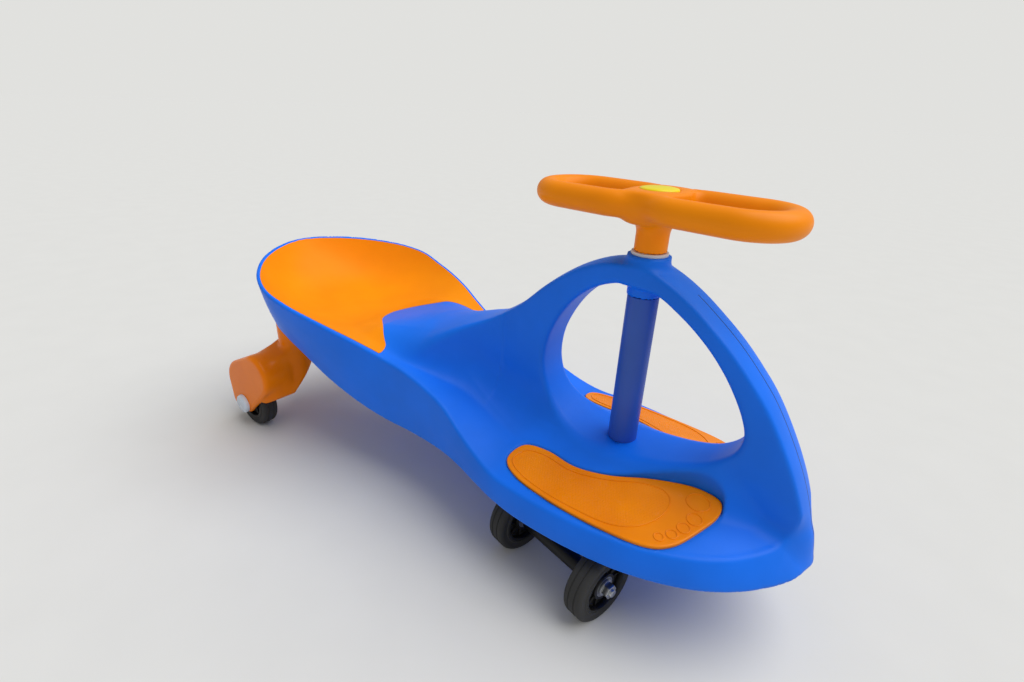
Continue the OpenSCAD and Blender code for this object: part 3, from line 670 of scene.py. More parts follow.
def bake_modifiers(obj: bpy.types.Object) -> None:
    """Turns an object's modifiers into plain mesh and removes them.

    Args:
        obj: the object.
    """
    graph = bpy.context.evaluated_depsgraph_get()
    mesh = bpy.data.meshes.new_from_object(obj.evaluated_get(graph))
    obj.modifiers.clear()
    obj.data = mesh


def place(obj: bpy.types.Object, body: str, slot: str, *nodes: str) -> None:
    """Lets a piece ride on its body and stand for its nodes.

    Args:
        obj: the piece.
        body: the body's name.
        slot: the record's material slot; not used.
        nodes: nodes that it stands for.
    """
    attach(obj, body)
    if nodes:
        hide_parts(*nodes)
    log.info("%s rides on %s, %d faces", obj.name, body, len(obj.data.polygons))


def orient(obj: bpy.types.Object) -> None:
    """Turns a closed mesh's faces outwards.

    Args:
        obj: the object with the mesh.
    """
    work = bmesh.new()
    work.from_mesh(obj.data)
    bmesh.ops.recalc_face_normals(work, faces=work.faces)
    work.to_mesh(obj.data)
    work.free()


def softened(name: str, node: str, finish: Finish, width: float) -> bpy.types.Object:
    """Copies a node's mesh and rounds its edges.

    Args:
        name: the new piece's name.
        node: the node that is copied.
        finish: the finish.
        width: width of the rounding in millimetres.

    Returns:
        The new piece.
    """
    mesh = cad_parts[node].data.copy()
    work = bmesh.new()
    work.from_mesh(mesh)
    bmesh.ops.remove_doubles(work, verts=work.verts, dist=SAME_IN_COPY)
    flat = math.radians(FLAT_ANGLE)
    bmesh.ops.dissolve_limit(work, angle_limit=flat, verts=work.verts, edges=work.edges)
    work.to_mesh(mesh)
    work.free()
    made = smooth_object(name, mesh, finish)
    add_bevel(made, width, ROUND_ANGLE)
    bake_modifiers(made)
    crease(made, COPY_CREASE)
    return made


def spun(name: str, profile: Profile, count: int, finish: Finish, stand: Matrix) -> bpy.types.Object:
    """Spins a profile about an axis into a closed mesh.

    Args:
        name: the piece's name.
        profile: radius and height of each point, from the axis round to the axis, or a closed ring.
        count: steps round the axis.
        finish: the finish.
        stand: place and turn of the axis, in millimetres about the steering axis.

    Returns:
        The piece.
    """
    work = bmesh.new()
    ring = [work.verts.new((r, 0.0, h)) for r, h in profile]
    edges = [work.edges.new(pair) for pair in zip(ring, ring[1:])]
    if profile[0][0] > 0:
        edges.append(work.edges.new((ring[-1], ring[0])))
    bmesh.ops.spin(work, geom=ring + edges, cent=(0, 0, 0), axis=(0, 0, 1), angle=2 * math.pi, steps=count)
    bmesh.ops.remove_doubles(work, verts=work.verts, dist=SAME_IN_SPUN)
    bmesh.ops.recalc_face_normals(work, faces=work.faces)
    bmesh.ops.transform(work, matrix=stand, verts=work.verts)
    bmesh.ops.translate(work, vec=(AXIS_X, 0, 0), verts=work.verts)
    bmesh.ops.scale(work, vec=(MM, MM, MM), verts=work.verts)
    mesh = bpy.data.meshes.new(name)
    work.to_mesh(mesh)
    work.free()
    made = smooth_object(name, mesh, finish)
    crease(made, SPUN_CREASE)
    return made


class RepeatTree(Graph):
    """A geometry node tree that repeats a shape, with named lengths as its inputs."""

    def __init__(self, name: str, finish: Finish) -> None:
        """Starts an empty tree with one mesh input and one mesh output.

        Args:
            name: the tree's name.
            finish: the finish of what it makes.
        """
        super().__init__(bpy.data.node_groups.new(name, "GeometryNodeTree"))
        self.finish = finish
        for way in ("INPUT", "OUTPUT"):
            self.tree.interface.new_socket("Geometry", in_out=way, socket_type="NodeSocketGeometry")
        self.source = self.add("NodeGroupInput")

    def size(self, name: str) -> bpy.types.NodeSocket:
        """Adds a named length input and gives its socket."""
        self.tree.interface.new_socket(name, in_out="INPUT", socket_type="NodeSocketFloat")
        return self.source.outputs[name]

    def close(self, shape: bpy.types.NodeSocket) -> None:
        """Ends the tree in real meshes with one material.

        Args:
            shape: the geometry so far.
        """
        real = self.add("GeometryNodeRealizeInstances", Geometry=shape)
        smooth = self.add("GeometryNodeSetShadeSmooth", Geometry=real.outputs["Geometry"])
        painted = self.add("GeometryNodeSetMaterial", Geometry=smooth.outputs["Geometry"],
                           Material=self.finish.material())
        self.add("NodeGroupOutput", Geometry=painted.outputs["Geometry"])

    def run(self, name: str, points: Array, edges: Sequence[Sequence[int]],
            sizes: dict[str, float]) -> bpy.types.Object:
        """Runs the tree on points and edges and gives plain mesh.

        Args:
            name: the new piece's name.
            points: points in metres.
            edges: pairs of points.
            sizes: values of the named inputs, in millimetres.

        Returns:
            The new piece.
        """
        mesh = bpy.data.meshes.new(name)
        mesh.from_pydata(np.asarray(points).tolist(), edges, [])
        made = link_object(name, mesh)
        modifier = made.modifiers.new("repeat", "NODES")
        modifier.node_group = self.tree
        for item in self.tree.interface.items_tree:
            if item.in_out == "INPUT" and item.name in sizes:
                modifier[item.identifier] = sizes[item.name] * MM
        bake_modifiers(made)
        paint(made.data, self.finish)
        return made


def bead_tree(finish: Finish) -> RepeatTree:
    """Makes a tree that lays a round bead along edges.

    Args:
        finish: the bead's finish.

    Returns:
        The tree, with the input "Bead radius".
    """
    made = RepeatTree("bead_along_line", finish)
    ring = made.add("GeometryNodeCurvePrimitiveCircle", Resolution=BEAD_SIDES,
                    Radius=made.size("Bead radius"))
    line = made.add("GeometryNodeMeshToCurve", Mesh=made.source.outputs["Geometry"])
    sweep = made.add("GeometryNodeCurveToMesh", Curve=line.outputs["Curve"],
                     Profile_Curve=ring.outputs["Curve"])
    made.close(sweep.outputs["Mesh"])
    return made


def pebble_tree(finish: Finish) -> RepeatTree:
    """Makes a tree that sets a small round pebble on every point.

    Args:
        finish: the pebbles' finish.

    Returns:
        The tree, with the input "Pebble radius".
    """
    made = RepeatTree("pebbles_on_points", finish)
    ball = made.add("GeometryNodeMeshUVSphere", Segments=PEBBLE_SEGMENTS, Rings=PEBBLE_RINGS,
                    Radius=made.size("Pebble radius"))
    spread = made.add("GeometryNodeInstanceOnPoints", Points=made.source.outputs["Geometry"],
                      Instance=ball.outputs["Mesh"])
    made.close(spread.outputs["Instances"])
    return made


@dataclass
class BodyShell:
    """The blue moulding: seat tub, tongue, arch, deck and nose skirt. Sizes in millimetres.

    The strap is the tongue and the arch, which run along the middle from the seat to the nose.
    """

    length: float = 770.0
    seat_half: float = 140.0
    seat_height: float = 257.0
    arch_height: float = 335.0
    skin: float = 7.0
    lip: float = 4.0
    bulge: float = 2.5
    rim_round: float = 3.5
    foot_round: float = 4.0
    open_round: float = 6.0
    cave_round: float = 1.5
    pocket_round: float = 1.6
    wall_over: float = 30.0
    hull_blend: float = 6.0

    strap_half: float = 22.0
    strap_crown: float = 2.5
    strap_over: float = 1.0
    strap_out: float = 14.0
    strap_most_share: float = 0.82
    strap_flank: float = 0.9
    crown_reach: float = 1.7
    edge_round: float = 3.0
    tongue_round: float = 22.0
    tongue_from: tuple[float, float] = (-150.0, -300.0)
    roll_from: tuple[float, float] = (-180.0, -320.0)
    roll_most: float = 40.0

    nose_tip: float = 4.0
    nose_tip_points: int = 10
    nose_crown: float = 12.0
    nose_from: tuple[float, float] = (100.0, 140.0)
    nose_below: tuple[float, float] = (152.0, 122.0)

    cove: float = 44.0
    cove_least: float = 4.0
    cove_share: float = 0.8
    nose_cove: float = 14.0
    nose_cove_from: tuple[float, float] = (90.0, 140.0)
    seat_cove_share: float = 0.12
    seat_cove_until: tuple[float, float] = (-380.0, -260.0)

    bore: float = 13.0
    collar_radius: float = 20.0
    collar_top: float = 341.0
    collar_low: float = 316.0
    collar_blend: float = 7.0
    sleeve_top: float = 302.0
    sleeve_boss: float = 16.0
    sleeve_boss_top: float = 335.0
    sleeve_blend: float = 5.0
    boss_radius: float = 19.0
    boss_low: float = 98.0
    boss_sunk: float = 1.0

    socket: tuple[float, float] = (-475.0, 84.0)
    socket_low: float = 167.4
    socket_top: float = 178.4
    socket_gap: float = 0.3
    post_radius: float = 21.0
    post_wall: float = 6.0
    post_sunk: float = 6.5
    post_blend: float = 6.0

    plan_low: tuple[float, float] = (-600.0, 0.0)
    plan_high: tuple[float, float] = (226.0, 172.0)
    plan_step: float = 2.0
    wall_levels: tuple[float, float, int] = (-0.25, 1.25, 9)
    hole_low: tuple[float, float] = (-130.0, 110.0)
    hole_high: tuple[float, float] = (160.0, 345.0)
    hole_step: float = 1.0
    skin_range: tuple[float, float] = (150.0, 290.0)
    skin_rounds: int = 30
    rim_points: int = 400
    spine_points: int = 200
    strap_points: int = 120
    hole_points: int = 132
    box_low: tuple[float, float, float] = (-582.0, -152.0, 78.0)
    box_high: tuple[float, float, float] = (206.0, 152.0, 348.0)
    cell: float = 2.4
    most_faces: int = 190000

    # Stations of the rim and of the lower edge, as shares of length, seat_half and seat_height.
    RIM_SHARES = (
        (-0.7442, 0.05, 1), (-0.738, 0.2, 0.998), (-0.721, 0.40, 0.991), (-0.694, 0.60, 0.98),
        (-0.659, 0.775, 0.964), (-0.617, 0.92, 0.942), (-0.571, 0.998, 0.912), (-0.522, 0.978, 0.871),
        (-0.474, 0.928, 0.836), (-0.43, 0.862, 0.798), (-0.387, 0.78, 0.753), (-0.345, 0.712, 0.71),
        (-0.303, 0.692, 0.682), (-0.26, 0.693, 0.646), (-0.221, 0.714, 0.606), (-0.184, 0.75, 0.54),
        (-0.145, 0.792, 0.485), (-0.108, 0.83, 0.453), (-0.065, 0.852, 0.449), (-0.018, 0.85, 0.445),
        (0.03, 0.826, 0.442), (0.075, 0.785, 0.442), (0.115, 0.727, 0.446), (0.15, 0.64, 0.45),
        (0.18, 0.52, 0.454), (0.203, 0.38, 0.459), (0.218, 0.25, 0.465), (0.226, 0.157, 0.47))
    FOOT_SHARES = (
        (-0.7234, 0.05, 0.708), (-0.718, 0.18, 0.704), (-0.704, 0.357, 0.697), (-0.681, 0.543, 0.685),
        (-0.649, 0.693, 0.669), (-0.612, 0.8, 0.658), (-0.568, 0.85, 0.638), (-0.52, 0.846, 0.58),
        (-0.473, 0.814, 0.502), (-0.43, 0.779, 0.444), (-0.387, 0.743, 0.401), (-0.345, 0.714, 0.377),
        (-0.303, 0.688, 0.366), (-0.26, 0.686, 0.361), (-0.221, 0.706, 0.359), (-0.184, 0.748, 0.356),
        (-0.145, 0.805, 0.348), (-0.108, 0.85, 0.338), (-0.065, 0.878, 0.331), (-0.018, 0.884, 0.329),
        (0.032, 0.872, 0.329), (0.08, 0.835, 0.331), (0.125, 0.765, 0.335), (0.165, 0.67, 0.341),
        (0.2, 0.535, 0.347), (0.2265, 0.385, 0.352), (0.243, 0.258, 0.355), (0.2506, 0.17, 0.357))
    # Height of the bowl's middle at each station, as a share of seat_height, and how hollow it is.
    BASE_SHARES = (0.999, 0.965, 0.89, 0.81, 0.752, 0.722, 0.71, 0.708, 0.712, 0.718, 0.716, 0.703, 0.672,
                   0.635, 0.602, 0.578, 0.564, 0.557, 0.553, 0.552, 0.552, 0.552, 0.55, 0.543, 0.528, 0.507,
                   0.487, 0.472)
    HOLLOW_POWERS = (2, 2.2, 2.6, 3, 3.2, 3.3, 3.3, 3.2, 3, 2.6, 2.2, 1.9, 1.7, 1.6, 1.5, 1.4, 1.2, 1.1,
                     1, 1, 1, 1, 1, 1, 1, 1, 1, 1)
    # Top line of the strap and the arch's opening, as shares of length and arch_height.
    SPINE_SHARES = (
        (-0.53, 0.535), (-0.49, 0.55), (-0.44, 0.577), (-0.385, 0.605), (-0.33, 0.637),
        (-0.28, 0.668), (-0.24, 0.697), (-0.205, 0.737), (-0.168, 0.797), (-0.135, 0.868),
        (-0.104, 0.925), (-0.075, 0.966), (-0.046, 0.992), (-0.018, 1), (0.012, 0.997), (0.04, 0.972),
        (0.068, 0.934), (0.096, 0.886), (0.122, 0.836), (0.148, 0.776), (0.174, 0.706), (0.2, 0.614),
        (0.222, 0.52), (0.238, 0.43), (0.249, 0.345), (0.2558, 0.26), (0.2615, 0.15))
    OPEN_SHARES = (
        (-0.012, 0.937), (0.025, 0.925), (0.052, 0.892), (0.079, 0.848), (0.104, 0.795),
        (0.126, 0.733), (0.145, 0.66), (0.153, 0.6), (0.146, 0.543), (0.122, 0.492), (0.085, 0.457),
        (0.042, 0.434), (0, 0.424), (-0.042, 0.431), (-0.08, 0.462), (-0.108, 0.523), (-0.121, 0.6),
        (-0.119, 0.69), (-0.106, 0.77), (-0.087, 0.84), (-0.064, 0.892), (-0.039, 0.924))
    # Half width of the strap along the car, as shares of length and strap_half.
    STRAP_SHARES = ((-0.53, 3.9), (-0.42, 3.8), (-0.36, 3.6), (-0.31, 3.1), (-0.27, 2.3), (-0.245, 1.7),
                    (-0.22, 1.27), (-0.19, 1.07), (-0.15, 1.0), (0.2558, 1.0))

    def __post_init__(self) -> None:
        """Works out the curves and distance tables that the field reads."""
        scale = np.array([self.length, self.seat_half, self.seat_height])
        tall = np.array([self.length, self.arch_height])
        self.rim = spline(self.RIM_SHARES, self.rim_points) * scale
        self.inner = self.inset_rim(self.lip)
        self.foot = spline(self.FOOT_SHARES, self.rim_points) * scale
        self.base = spline([[b] for b in self.BASE_SHARES], self.rim_points)[:, 0] * self.seat_height
        self.power = spline([[h] for h in self.HOLLOW_POWERS], self.rim_points)[:, 0]
        self.spine = spline(self.SPINE_SHARES, self.spine_points) * tall
        wide = np.array([self.length, self.strap_half])
        self.strap = spline(self.STRAP_SHARES, self.strap_points) * wide
        self.opening = spline(self.OPEN_SHARES, self.hole_points, closed=True) * tall
        self.make_tables()

    def make_tables(self) -> None:
        """Fills the tables of the bowl's slope, the side walls and the opening."""
        x, y = grid(self.plan_low, self.plan_high, self.plan_step)
        height = self.bowl_height(x, y)
        fall = np.gradient(height, self.plan_step)
        steps = (self.plan_step, self.plan_step)
        self.bowl = Table(self.plan_low, steps, height)
        self.steep = Table(self.plan_low, steps, np.sqrt(1.0 + fall[0] ** 2 + fall[1] ** 2))
        levels = np.linspace(*self.wall_levels)
        walls = np.stack([loop_distance(self.outline(t), x, y) for t in levels], axis=2)
        self.walls = Table((*self.plan_low, levels[0]), (*steps, levels[1] - levels[0]), walls)
        hole = loop_distance(self.opening, *grid(self.hole_low, self.hole_high, self.hole_step))
        self.hole = Table(self.hole_low, (self.hole_step, self.hole_step), hole)

    def outline(self, level: float) -> Array:
        """Plan outline of the side wall.

        Args:
            level: 0 at the lower edge, 1 at the rim.

        Returns:
            The closed outline's points, one row each.
        """
        half = self.foot[:, :2] + level * (self.rim[:, :2] - self.foot[:, :2])
        back = 1.0 - np.linspace(1.0 / self.nose_tip_points, 1.0, self.nose_tip_points)[:, None]
        end_x, end_y = half[-1]
        tip = np.hstack([end_x + (1.0 - back ** 2) * self.nose_tip, back * end_y])
        half = np.concatenate([half, tip])
        belly = 4 * max(0.0, level * (1 - level)) * half[:, 1] / self.seat_half
        half = half + np.outer(belly, [0.0, self.bulge])
        return np.concatenate([half, half[::-1] * np.array([1.0, -1.0])])

    def along(self, x: Array, values: Array) -> Array:
        """Reads a curve of the rim's stations at lengths x."""
        return np.interp(x, self.rim[:, 0], values)

    def rim_height(self, x: Array) -> Array:
        """Height of the rim at lengths x."""
        return self.along(x, self.rim[:, 2])

    def foot_height(self, x: Array) -> Array:
        """Height of the lower edge at lengths x."""
        return np.interp(x, self.foot[:, 0], self.foot[:, 2])

    def spine_height(self, x: Array) -> Array:
        """Height of the strap's top line at lengths x."""
        return np.interp(x, self.spine[:, 0], self.spine[:, 1])

    def strap_edge(self, x: Array) -> Array:
        """Half of the strap's width, held inside the rim behind the steering axis.

        Args:
            x: lengths.

        Returns:
            The half widths.
        """
        half = np.interp(x, self.strap[:, 0], self.strap[:, 1])
        most = self.strap_most_share * self.along(x, self.rim[:, 1])
        return np.minimum(half, np.where(x < 0.0, most, half))

    def inset_rim(self, inset: float) -> Array:
        """Plan of the rim moved inwards.

        Args:
            inset: how far it is moved.

        Returns:
            The plan's points from the tail forwards, one row each.
        """
        rim = self.rim[:, :2]
        run = np.gradient(rim, axis=0)
        run = run / np.linalg.norm(run, axis=1)[:, None]
        return rim - inset * np.column_stack([-run[:, 1], run[:, 0]])

    def bowl_height(self, x: Array, y: Array) -> Array:
        """Height of the seat bowl and deck without the strap, with a flat lip all round.

        Args:
            x: lengths.
            y: places across.

        Returns:
            The heights.
        """
        along = self.inner[:, 0]
        share = np.clip(np.abs(y) / np.interp(x, along, self.inner[:, 1]), 0.0, 1.0)
        low, high = np.interp(x, along, self.base), self.rim_height(x)
        return low + (high - low) * share ** np.interp(x, along, self.power)

    def deck_field(self, x: Array, y: Array, z: Array) -> Array:
        """Height above the seat bowl and deck, measured square to them."""
        return (z - self.bowl.at(x, np.abs(y))) / self.steep.at(x, np.abs(y))

    def wall_field(self, x: Array, y: Array, z: Array) -> Array:
        """Distance outside the side walls."""
        low, high = self.foot_height(x), self.rim_height(x)
        return self.walls.at(x, np.abs(y), (z - low) / (high - low))

    def ridge_field(self, x: Array, y: Array, z: Array) -> Array:
        """Distance above the strap's crowned top, which rolls off at the seat and the nose.

        Args:
            x: lengths.
            y: places across.
            z: heights.

        Returns:
            The distances.
        """
        high, side = self.spine_height(x), np.abs(y) / self.strap_edge(x)
        fall = (self.spine_height(x + 1.0) - self.spine_height(x - 1.0)) / 2.0
        crown = self.strap_crown + ramp(x, *self.nose_from) * ramp(z, *self.nose_below) * self.nose_crown
        crown = crown + ramp(x, *self.roll_from) * np.clip(high - self.rim_height(x), 0.0, self.roll_most)
        return (z - high) / np.sqrt(1.0 + fall ** 2) + crown * np.clip(side, 0.0, self.crown_reach) ** 2

    def arch_field(self, x: Array, y: Array, z: Array) -> Array:
        """Field of the strap without the opening."""
        edge = self.edge_round + self.tongue_round * ramp(x, *self.tongue_from)
        return soft_max(self.ridge_field(x, y, z), (np.abs(y) - self.strap_edge(x)) * self.strap_flank, edge)

    def hull_field(self, x: Array, y: Array, z: Array) -> Array:
        """Field of the outer skin: side walls to a little above the rim, and the strap's own top.

        Args:
            x: lengths.
            y: places across.
            z: heights.

        Returns:
            The field.
        """
        skirt = np.maximum(self.wall_field(x, y, z), z - self.rim_height(x) - self.wall_over)
        strap = np.maximum(self.ridge_field(x, y, z) - self.strap_over,
                           np.abs(y) - self.strap_edge(x) - self.strap_out)
        return soft_min(skirt, strap, self.hull_blend)

    def upper_field(self, x: Array, y: Array, z: Array) -> Array:
        """Field of bowl, deck and strap as one upper skin, without the side walls.

        Args:
            x: lengths.
            y: places across.
            z: heights.

        Returns:
            The field.
        """
        least = self.cove_least + (self.nose_cove - self.cove_least) * ramp(x, *self.nose_cove_from)
        cove = np.clip(-self.cove_share * self.wall_field(x, y, z), least, self.cove)
        seat = self.seat_cove_share
        cove = cove * (seat + (1.0 - seat) * ramp(x, *self.seat_cove_until))
        return soft_min(self.deck_field(x, y, z), self.arch_field(x, y, z), cove)

    def skin_height(self, x: Array, y: Array) -> Array:
        """Height of the upper skin over points of the seat, found by halving.

        Args:
            x: lengths.
            y: places across.

        Returns:
            The heights.
        """
        low, high = (np.full(x.shape, end) for end in self.skin_range)
        for _ in range(self.skin_rounds):
            mid = (low + high) / 2
            under = self.upper_field(x, y, mid) < 0
            low, high = np.where(under, mid, low), np.where(under, high, mid)
        return (low + high) / 2

    @staticmethod
    def column_field(x: Array, y: Array, z: Array, radius: float, low: float, high: float) -> Array:
        """Field of an upright cylinder on the steering axis."""
        return np.maximum(np.hypot(x, y) - radius, np.maximum(low - z, z - high))

    def field(self, x: Array, y: Array, z: Array) -> Array:
        """Field of the whole moulding, negative inside it.

        Args:
            x: lengths.
            y: places across.
            z: heights.

        Returns:
            The field.
        """
        deck = self.deck_field(x, y, z)
        inner = np.maximum(deck, self.wall_field(x, y, z))
        solid = soft_max(self.upper_field(x, y, z), self.hull_field(x, y, z), self.rim_round)
        solid = soft_max(solid, self.foot_height(x) - z, self.foot_round)
        solid = soft_max(solid, -self.hole.at(x, z), self.open_round)
        collar = self.column_field(x, y, z, self.collar_radius, self.collar_low, self.collar_top)
        sleeve = self.column_field(x, y, z, self.sleeve_boss, self.sleeve_top, self.sleeve_boss_top)
        solid = soft_min(soft_min(solid, collar, self.collar_blend), sleeve, self.sleeve_blend)
        solid = soft_max(solid, -(inner + self.skin), self.cave_round)
        socket = np.hypot(x - self.socket[0], np.abs(y) - self.socket[1])
        post = np.maximum(socket - self.post_radius - self.post_wall, self.socket_low - z)
        solid = soft_min(solid, np.maximum(post, inner + self.post_sunk), self.post_blend)
        boss = self.column_field(x, y, z, self.boss_radius, self.boss_low, self.sleeve_top)
        solid = np.minimum(solid, np.maximum(boss, deck + self.boss_sunk))
        solid = np.maximum(solid, self.bore - np.hypot(x, y))
        room = np.maximum(socket - self.post_radius - self.socket_gap, z - self.socket_top)
        return np.maximum(solid, -room)

    def build(self, pads: "FootPads") -> None:
        """Meshes the moulding, with pockets for the foot pads, and dresses it.

        Args:
            pads: the foot pads.
        """
        def pocketed(x: Array, y: Array, z: Array) -> Array:
            """Field of the moulding with the pads' pockets cut in."""
            return soft_max(self.field(x, y, z), -pads.pocket_field(x, y, z), self.pocket_round)

        cell = self.cell
        points, quads = Mesher(self.box_low, self.box_high, cell).run(pocketed)
        made = make_object("moulded_shell", to_row(points), quads, SHELL_BLUE)
        share = self.most_faces / (2 * len(quads))
        if share < 1:
            thin = made.modifiers.new("thin", "DECIMATE")
            thin.ratio = share
            bake_modifiers(made)
        place(made, "car_body", "shell_blue", "body_shell")


@dataclass
class SeatPad:
    """The orange insert of the seat tub, let into its skin. Sizes in millimetres."""

    shell: BodyShell
    inset: float = 5.0
    rise: float = 0.6
    depth: float = 2.4
    edge: float = 0.8
    edge_angle: float = 50.0
    steps: int = 150
    lanes: int = 60
    crowding: float = 1.6
    front_points: int = 90

    FRONT = ((-362.0, 0.0), (-358.0, 14.0), (-348.0, 30.0), (-328.0, 47.0), (-311.0, 60.0), (-300.0, 69.0),
             (-291.0, 75.5), (-283.0, 80.5), (-279.0, 87.0), (-276.0, 94.0))

    def __post_init__(self) -> None:
        """Draws the insert's side and front lines."""
        self.side = self.shell.inset_rim(self.inset)
        self.front = spline(self.FRONT, self.front_points)

    def side_at(self, x: Array) -> Array:
        """Half width of the insert at lengths x."""
        return np.interp(x, self.side[:, 0], self.side[:, 1])

    def plan(self) -> Array:
        """Plan of the insert, in rows that crowd towards the tail.

        Returns:
            Its points, row by row from the tail, each row from right to left.
        """
        across = np.sin(np.linspace(-1, 1, 2 * self.lanes + 1) * math.pi / 2)
        share = np.clip(self.front[:, 1] / self.side_at(self.front[:, 0]), 0.0, 1.0)
        last = np.interp(np.abs(across), share, self.front[:, 0])
        first = self.side[0, 0]
        rows = []
        for i in range(self.steps + 1):
            x = first + (i / self.steps) ** self.crowding * (last - first)
            rows.append(np.column_stack([x, across * self.side_at(x)]))
        return np.concatenate(rows)

    def build(self) -> None:
        """Lays a sheet on the tub, thickens it and rounds its edge."""
        plan = self.plan()
        height = self.shell.skin_height(plan[:, 0], plan[:, 1]) + self.rise
        n = 2 * self.lanes + 1
        faces = [(i * n + j, (i + 1) * n + j, (i + 1) * n + j + 1, i * n + j + 1)
                 for i in range(self.steps) for j in range(n - 1)]
        made = make_object("seat_insert", to_row(np.column_stack([plan, height])), faces, SEAT_ORANGE)
        solid = made.modifiers.new("thick", "SOLIDIFY")
        solid.thickness = (self.depth + self.rise) * MM
        solid.offset = -1.0
        add_bevel(made, self.edge, self.edge_angle)
        bake_modifiers(made)
        place(made, "car_body", "seat_orange", "seat_pad")


@dataclass
class FootPads:
    """Two glossy pads with a sole line, pebbles and five toe rings each. Sizes in millimetres."""

    length: float = 203.0
    start: float = -84.7
    middle_height: float = 143.23
    tilt: float = 12.957
    fall: float = 1.247
    thick: float = 3.6
    recess: float = 2.5
    gap: float = 0.9
    floor_gap: float = 0.2
    edge: float = 1.1
    edge_steps: int = 4
    dish: float = 0.3
    pebble: float = 1.2
    pebble_step: float = 3.0
    pebble_sunk: float = 0.85
    pebble_margin: float = 2.2
    bead: float = 0.75
    bead_lift: float = 0.1
    toe_squash_share: float = 0.92
    width_share: float = 0.6
    crease_angle: float = 60.0
    plan_points: int = 128
    sole_points: int = 112
    toe_points: int = 40
    table_low: tuple[float, float] = (-30.0, -10.0)
    table_high: tuple[float, float] = (234.0, 150.0)
    table_step: float = 1.0

    # Outlines of pad and sole, and place and radius of each toe, as shares of length.
    PLAN_SHARES = ((0, 0.459), (0.02, 0.335), (0.148, 0.301), (0.32, 0.315), (0.488, 0.271), (0.65, 0.187),
                   (0.813, 0.125), (0.911, 0.113), (0.985, 0.133), (1, 0.21), (0.961, 0.325), (0.892, 0.458),
                   (0.783, 0.527), (0.552, 0.556), (0.31, 0.556), (0.108, 0.527))
    SOLE_SHARES = ((0.03, 0.45), (0.055, 0.36), (0.16, 0.335), (0.32, 0.348), (0.49, 0.302), (0.63, 0.232),
                   (0.745, 0.212), (0.797, 0.265), (0.785, 0.365), (0.72, 0.46), (0.61, 0.515), (0.45, 0.53),
                   (0.28, 0.528), (0.12, 0.502))
    TOE_SHARES = ((0.9, 0.19, 0.052), (0.92, 0.285, 0.034), (0.897, 0.353, 0.028), (0.867, 0.41, 0.024),
                  (0.826, 0.452, 0.021))
    # Distance in from the rolled edge, and share of the dish's depth there.
    DISH_STEPS = ((1.6, 1 / 15), (3.2, 0.8), (5.0, 1.0))

    def __post_init__(self) -> None:
        """Draws the outlines and the table of distances to the pad's edge."""
        self.plan = spline(self.PLAN_SHARES, self.plan_points, closed=True) * self.length
        self.sole = spline(self.SOLE_SHARES, self.sole_points, closed=True) * self.length
        away = loop_distance(self.plan, *grid(self.table_low, self.table_high, self.table_step))
        self.edge_table = Table(self.table_low, (self.table_step, self.table_step), away)
        fall, tilt = (math.radians(a) for a in (self.fall, -self.tilt))
        self.turn = np.array(Matrix.Rotation(fall, 3, "Y") @ Matrix.Rotation(tilt, 3, "X"))
        self.top = self.thick - self.recess

    def pocket_field(self, x: Array, y: Array, z: Array) -> Array:
        """Field of the room that a pad takes in the deck.

        Args:
            x: lengths.
            y: places across.
            z: heights.

        Returns:
            The field.
        """
        local = [x - self.start, np.abs(y), z - self.middle_height]
        p, q, n = (sum(self.turn[k, a] * local[k] for k in range(3)) for a in range(3))
        return np.maximum(self.edge_table.at(p, q) - self.gap, -self.recess - n)

    def on_deck(self, flat: Array, height: float, side: Side) -> Array:
        """Lays flat pad points on the deck of one side.

        Args:
            flat: points on the pad's plane, one row each.
            height: their height above it.
            side: the side.

        Returns:
            The points in the row frame, in metres.
        """
        points = np.column_stack([flat, np.full(len(flat), height)])
        laid = points @ self.turn.T + np.array([self.start, 0.0, self.middle_height])
        return to_row(laid * side.mirror)

    def inward(self, distance: float) -> Array:
        """Moves the pad's outline inwards.

        Args:
            distance: how far.

        Returns:
            The moved outline.
        """
        loop = self.plan
        run = np.roll(loop, -1, axis=0) - np.roll(loop, 1, axis=0)
        run = run / np.linalg.norm(run, axis=1)[:, None]
        normal = np.column_stack([-run[:, 1], run[:, 0]])
        area = np.sum(loop[:, 0] * np.roll(loop[:, 1], -1) - np.roll(loop[:, 0], -1) * loop[:, 1])
        return loop + distance * (1 if area > 0 else -1) * normal

    def build_plate(self, side: Side) -> None:
        """Builds a pad with a rolled edge and a slightly sunk top.

        Args:
            side: the pad's side.
        """
        rings = [(0.0, self.floor_gap - self.recess)]
        for turn in np.linspace(0.0, math.pi / 2, self.edge_steps + 1):
            rings.append((self.edge * (1 - math.cos(turn)), self.top - self.edge * (1 - math.sin(turn))))
        rings += [(self.edge + inset, self.top - share * self.dish) for inset, share in self.DISH_STEPS]
        points = np.concatenate([self.on_deck(self.inward(d), h, side) for d, h in rings])
        n = len(self.plan)
        faces = [[r * n + i, r * n + (i + 1) % n, (r + 1) * n + (i + 1) % n, (r + 1) * n + i]
                 for r in range(len(rings) - 1) for i in range(n)]
        faces.append([(len(rings) - 1) * n + i for i in range(n)])
        faces.append([n - 1 - i for i in range(n)])
        pad = make_object(f"foot_pad_plate_{side.tag}", points, faces, PAD_ORANGE)
        orient(pad)
        crease(pad, self.crease_angle)
        place(pad, "car_body", "pad_orange", f"foot_pad_{side.tag}")

    def relief_lines(self) -> list[Array]:
        """Draws the sole and the toes on the pad's plane.

        Returns:
            A closed line for each.
        """
        turn = np.linspace(0, 2 * math.pi, self.toe_points, endpoint=False)
        lines = [self.sole]
        for along, across, radius in self.TOE_SHARES:
            ring = np.column_stack([along + radius * np.cos(turn),
                                    across + self.toe_squash_share * radius * np.sin(turn)])
            lines.append(ring * self.length)
        return lines

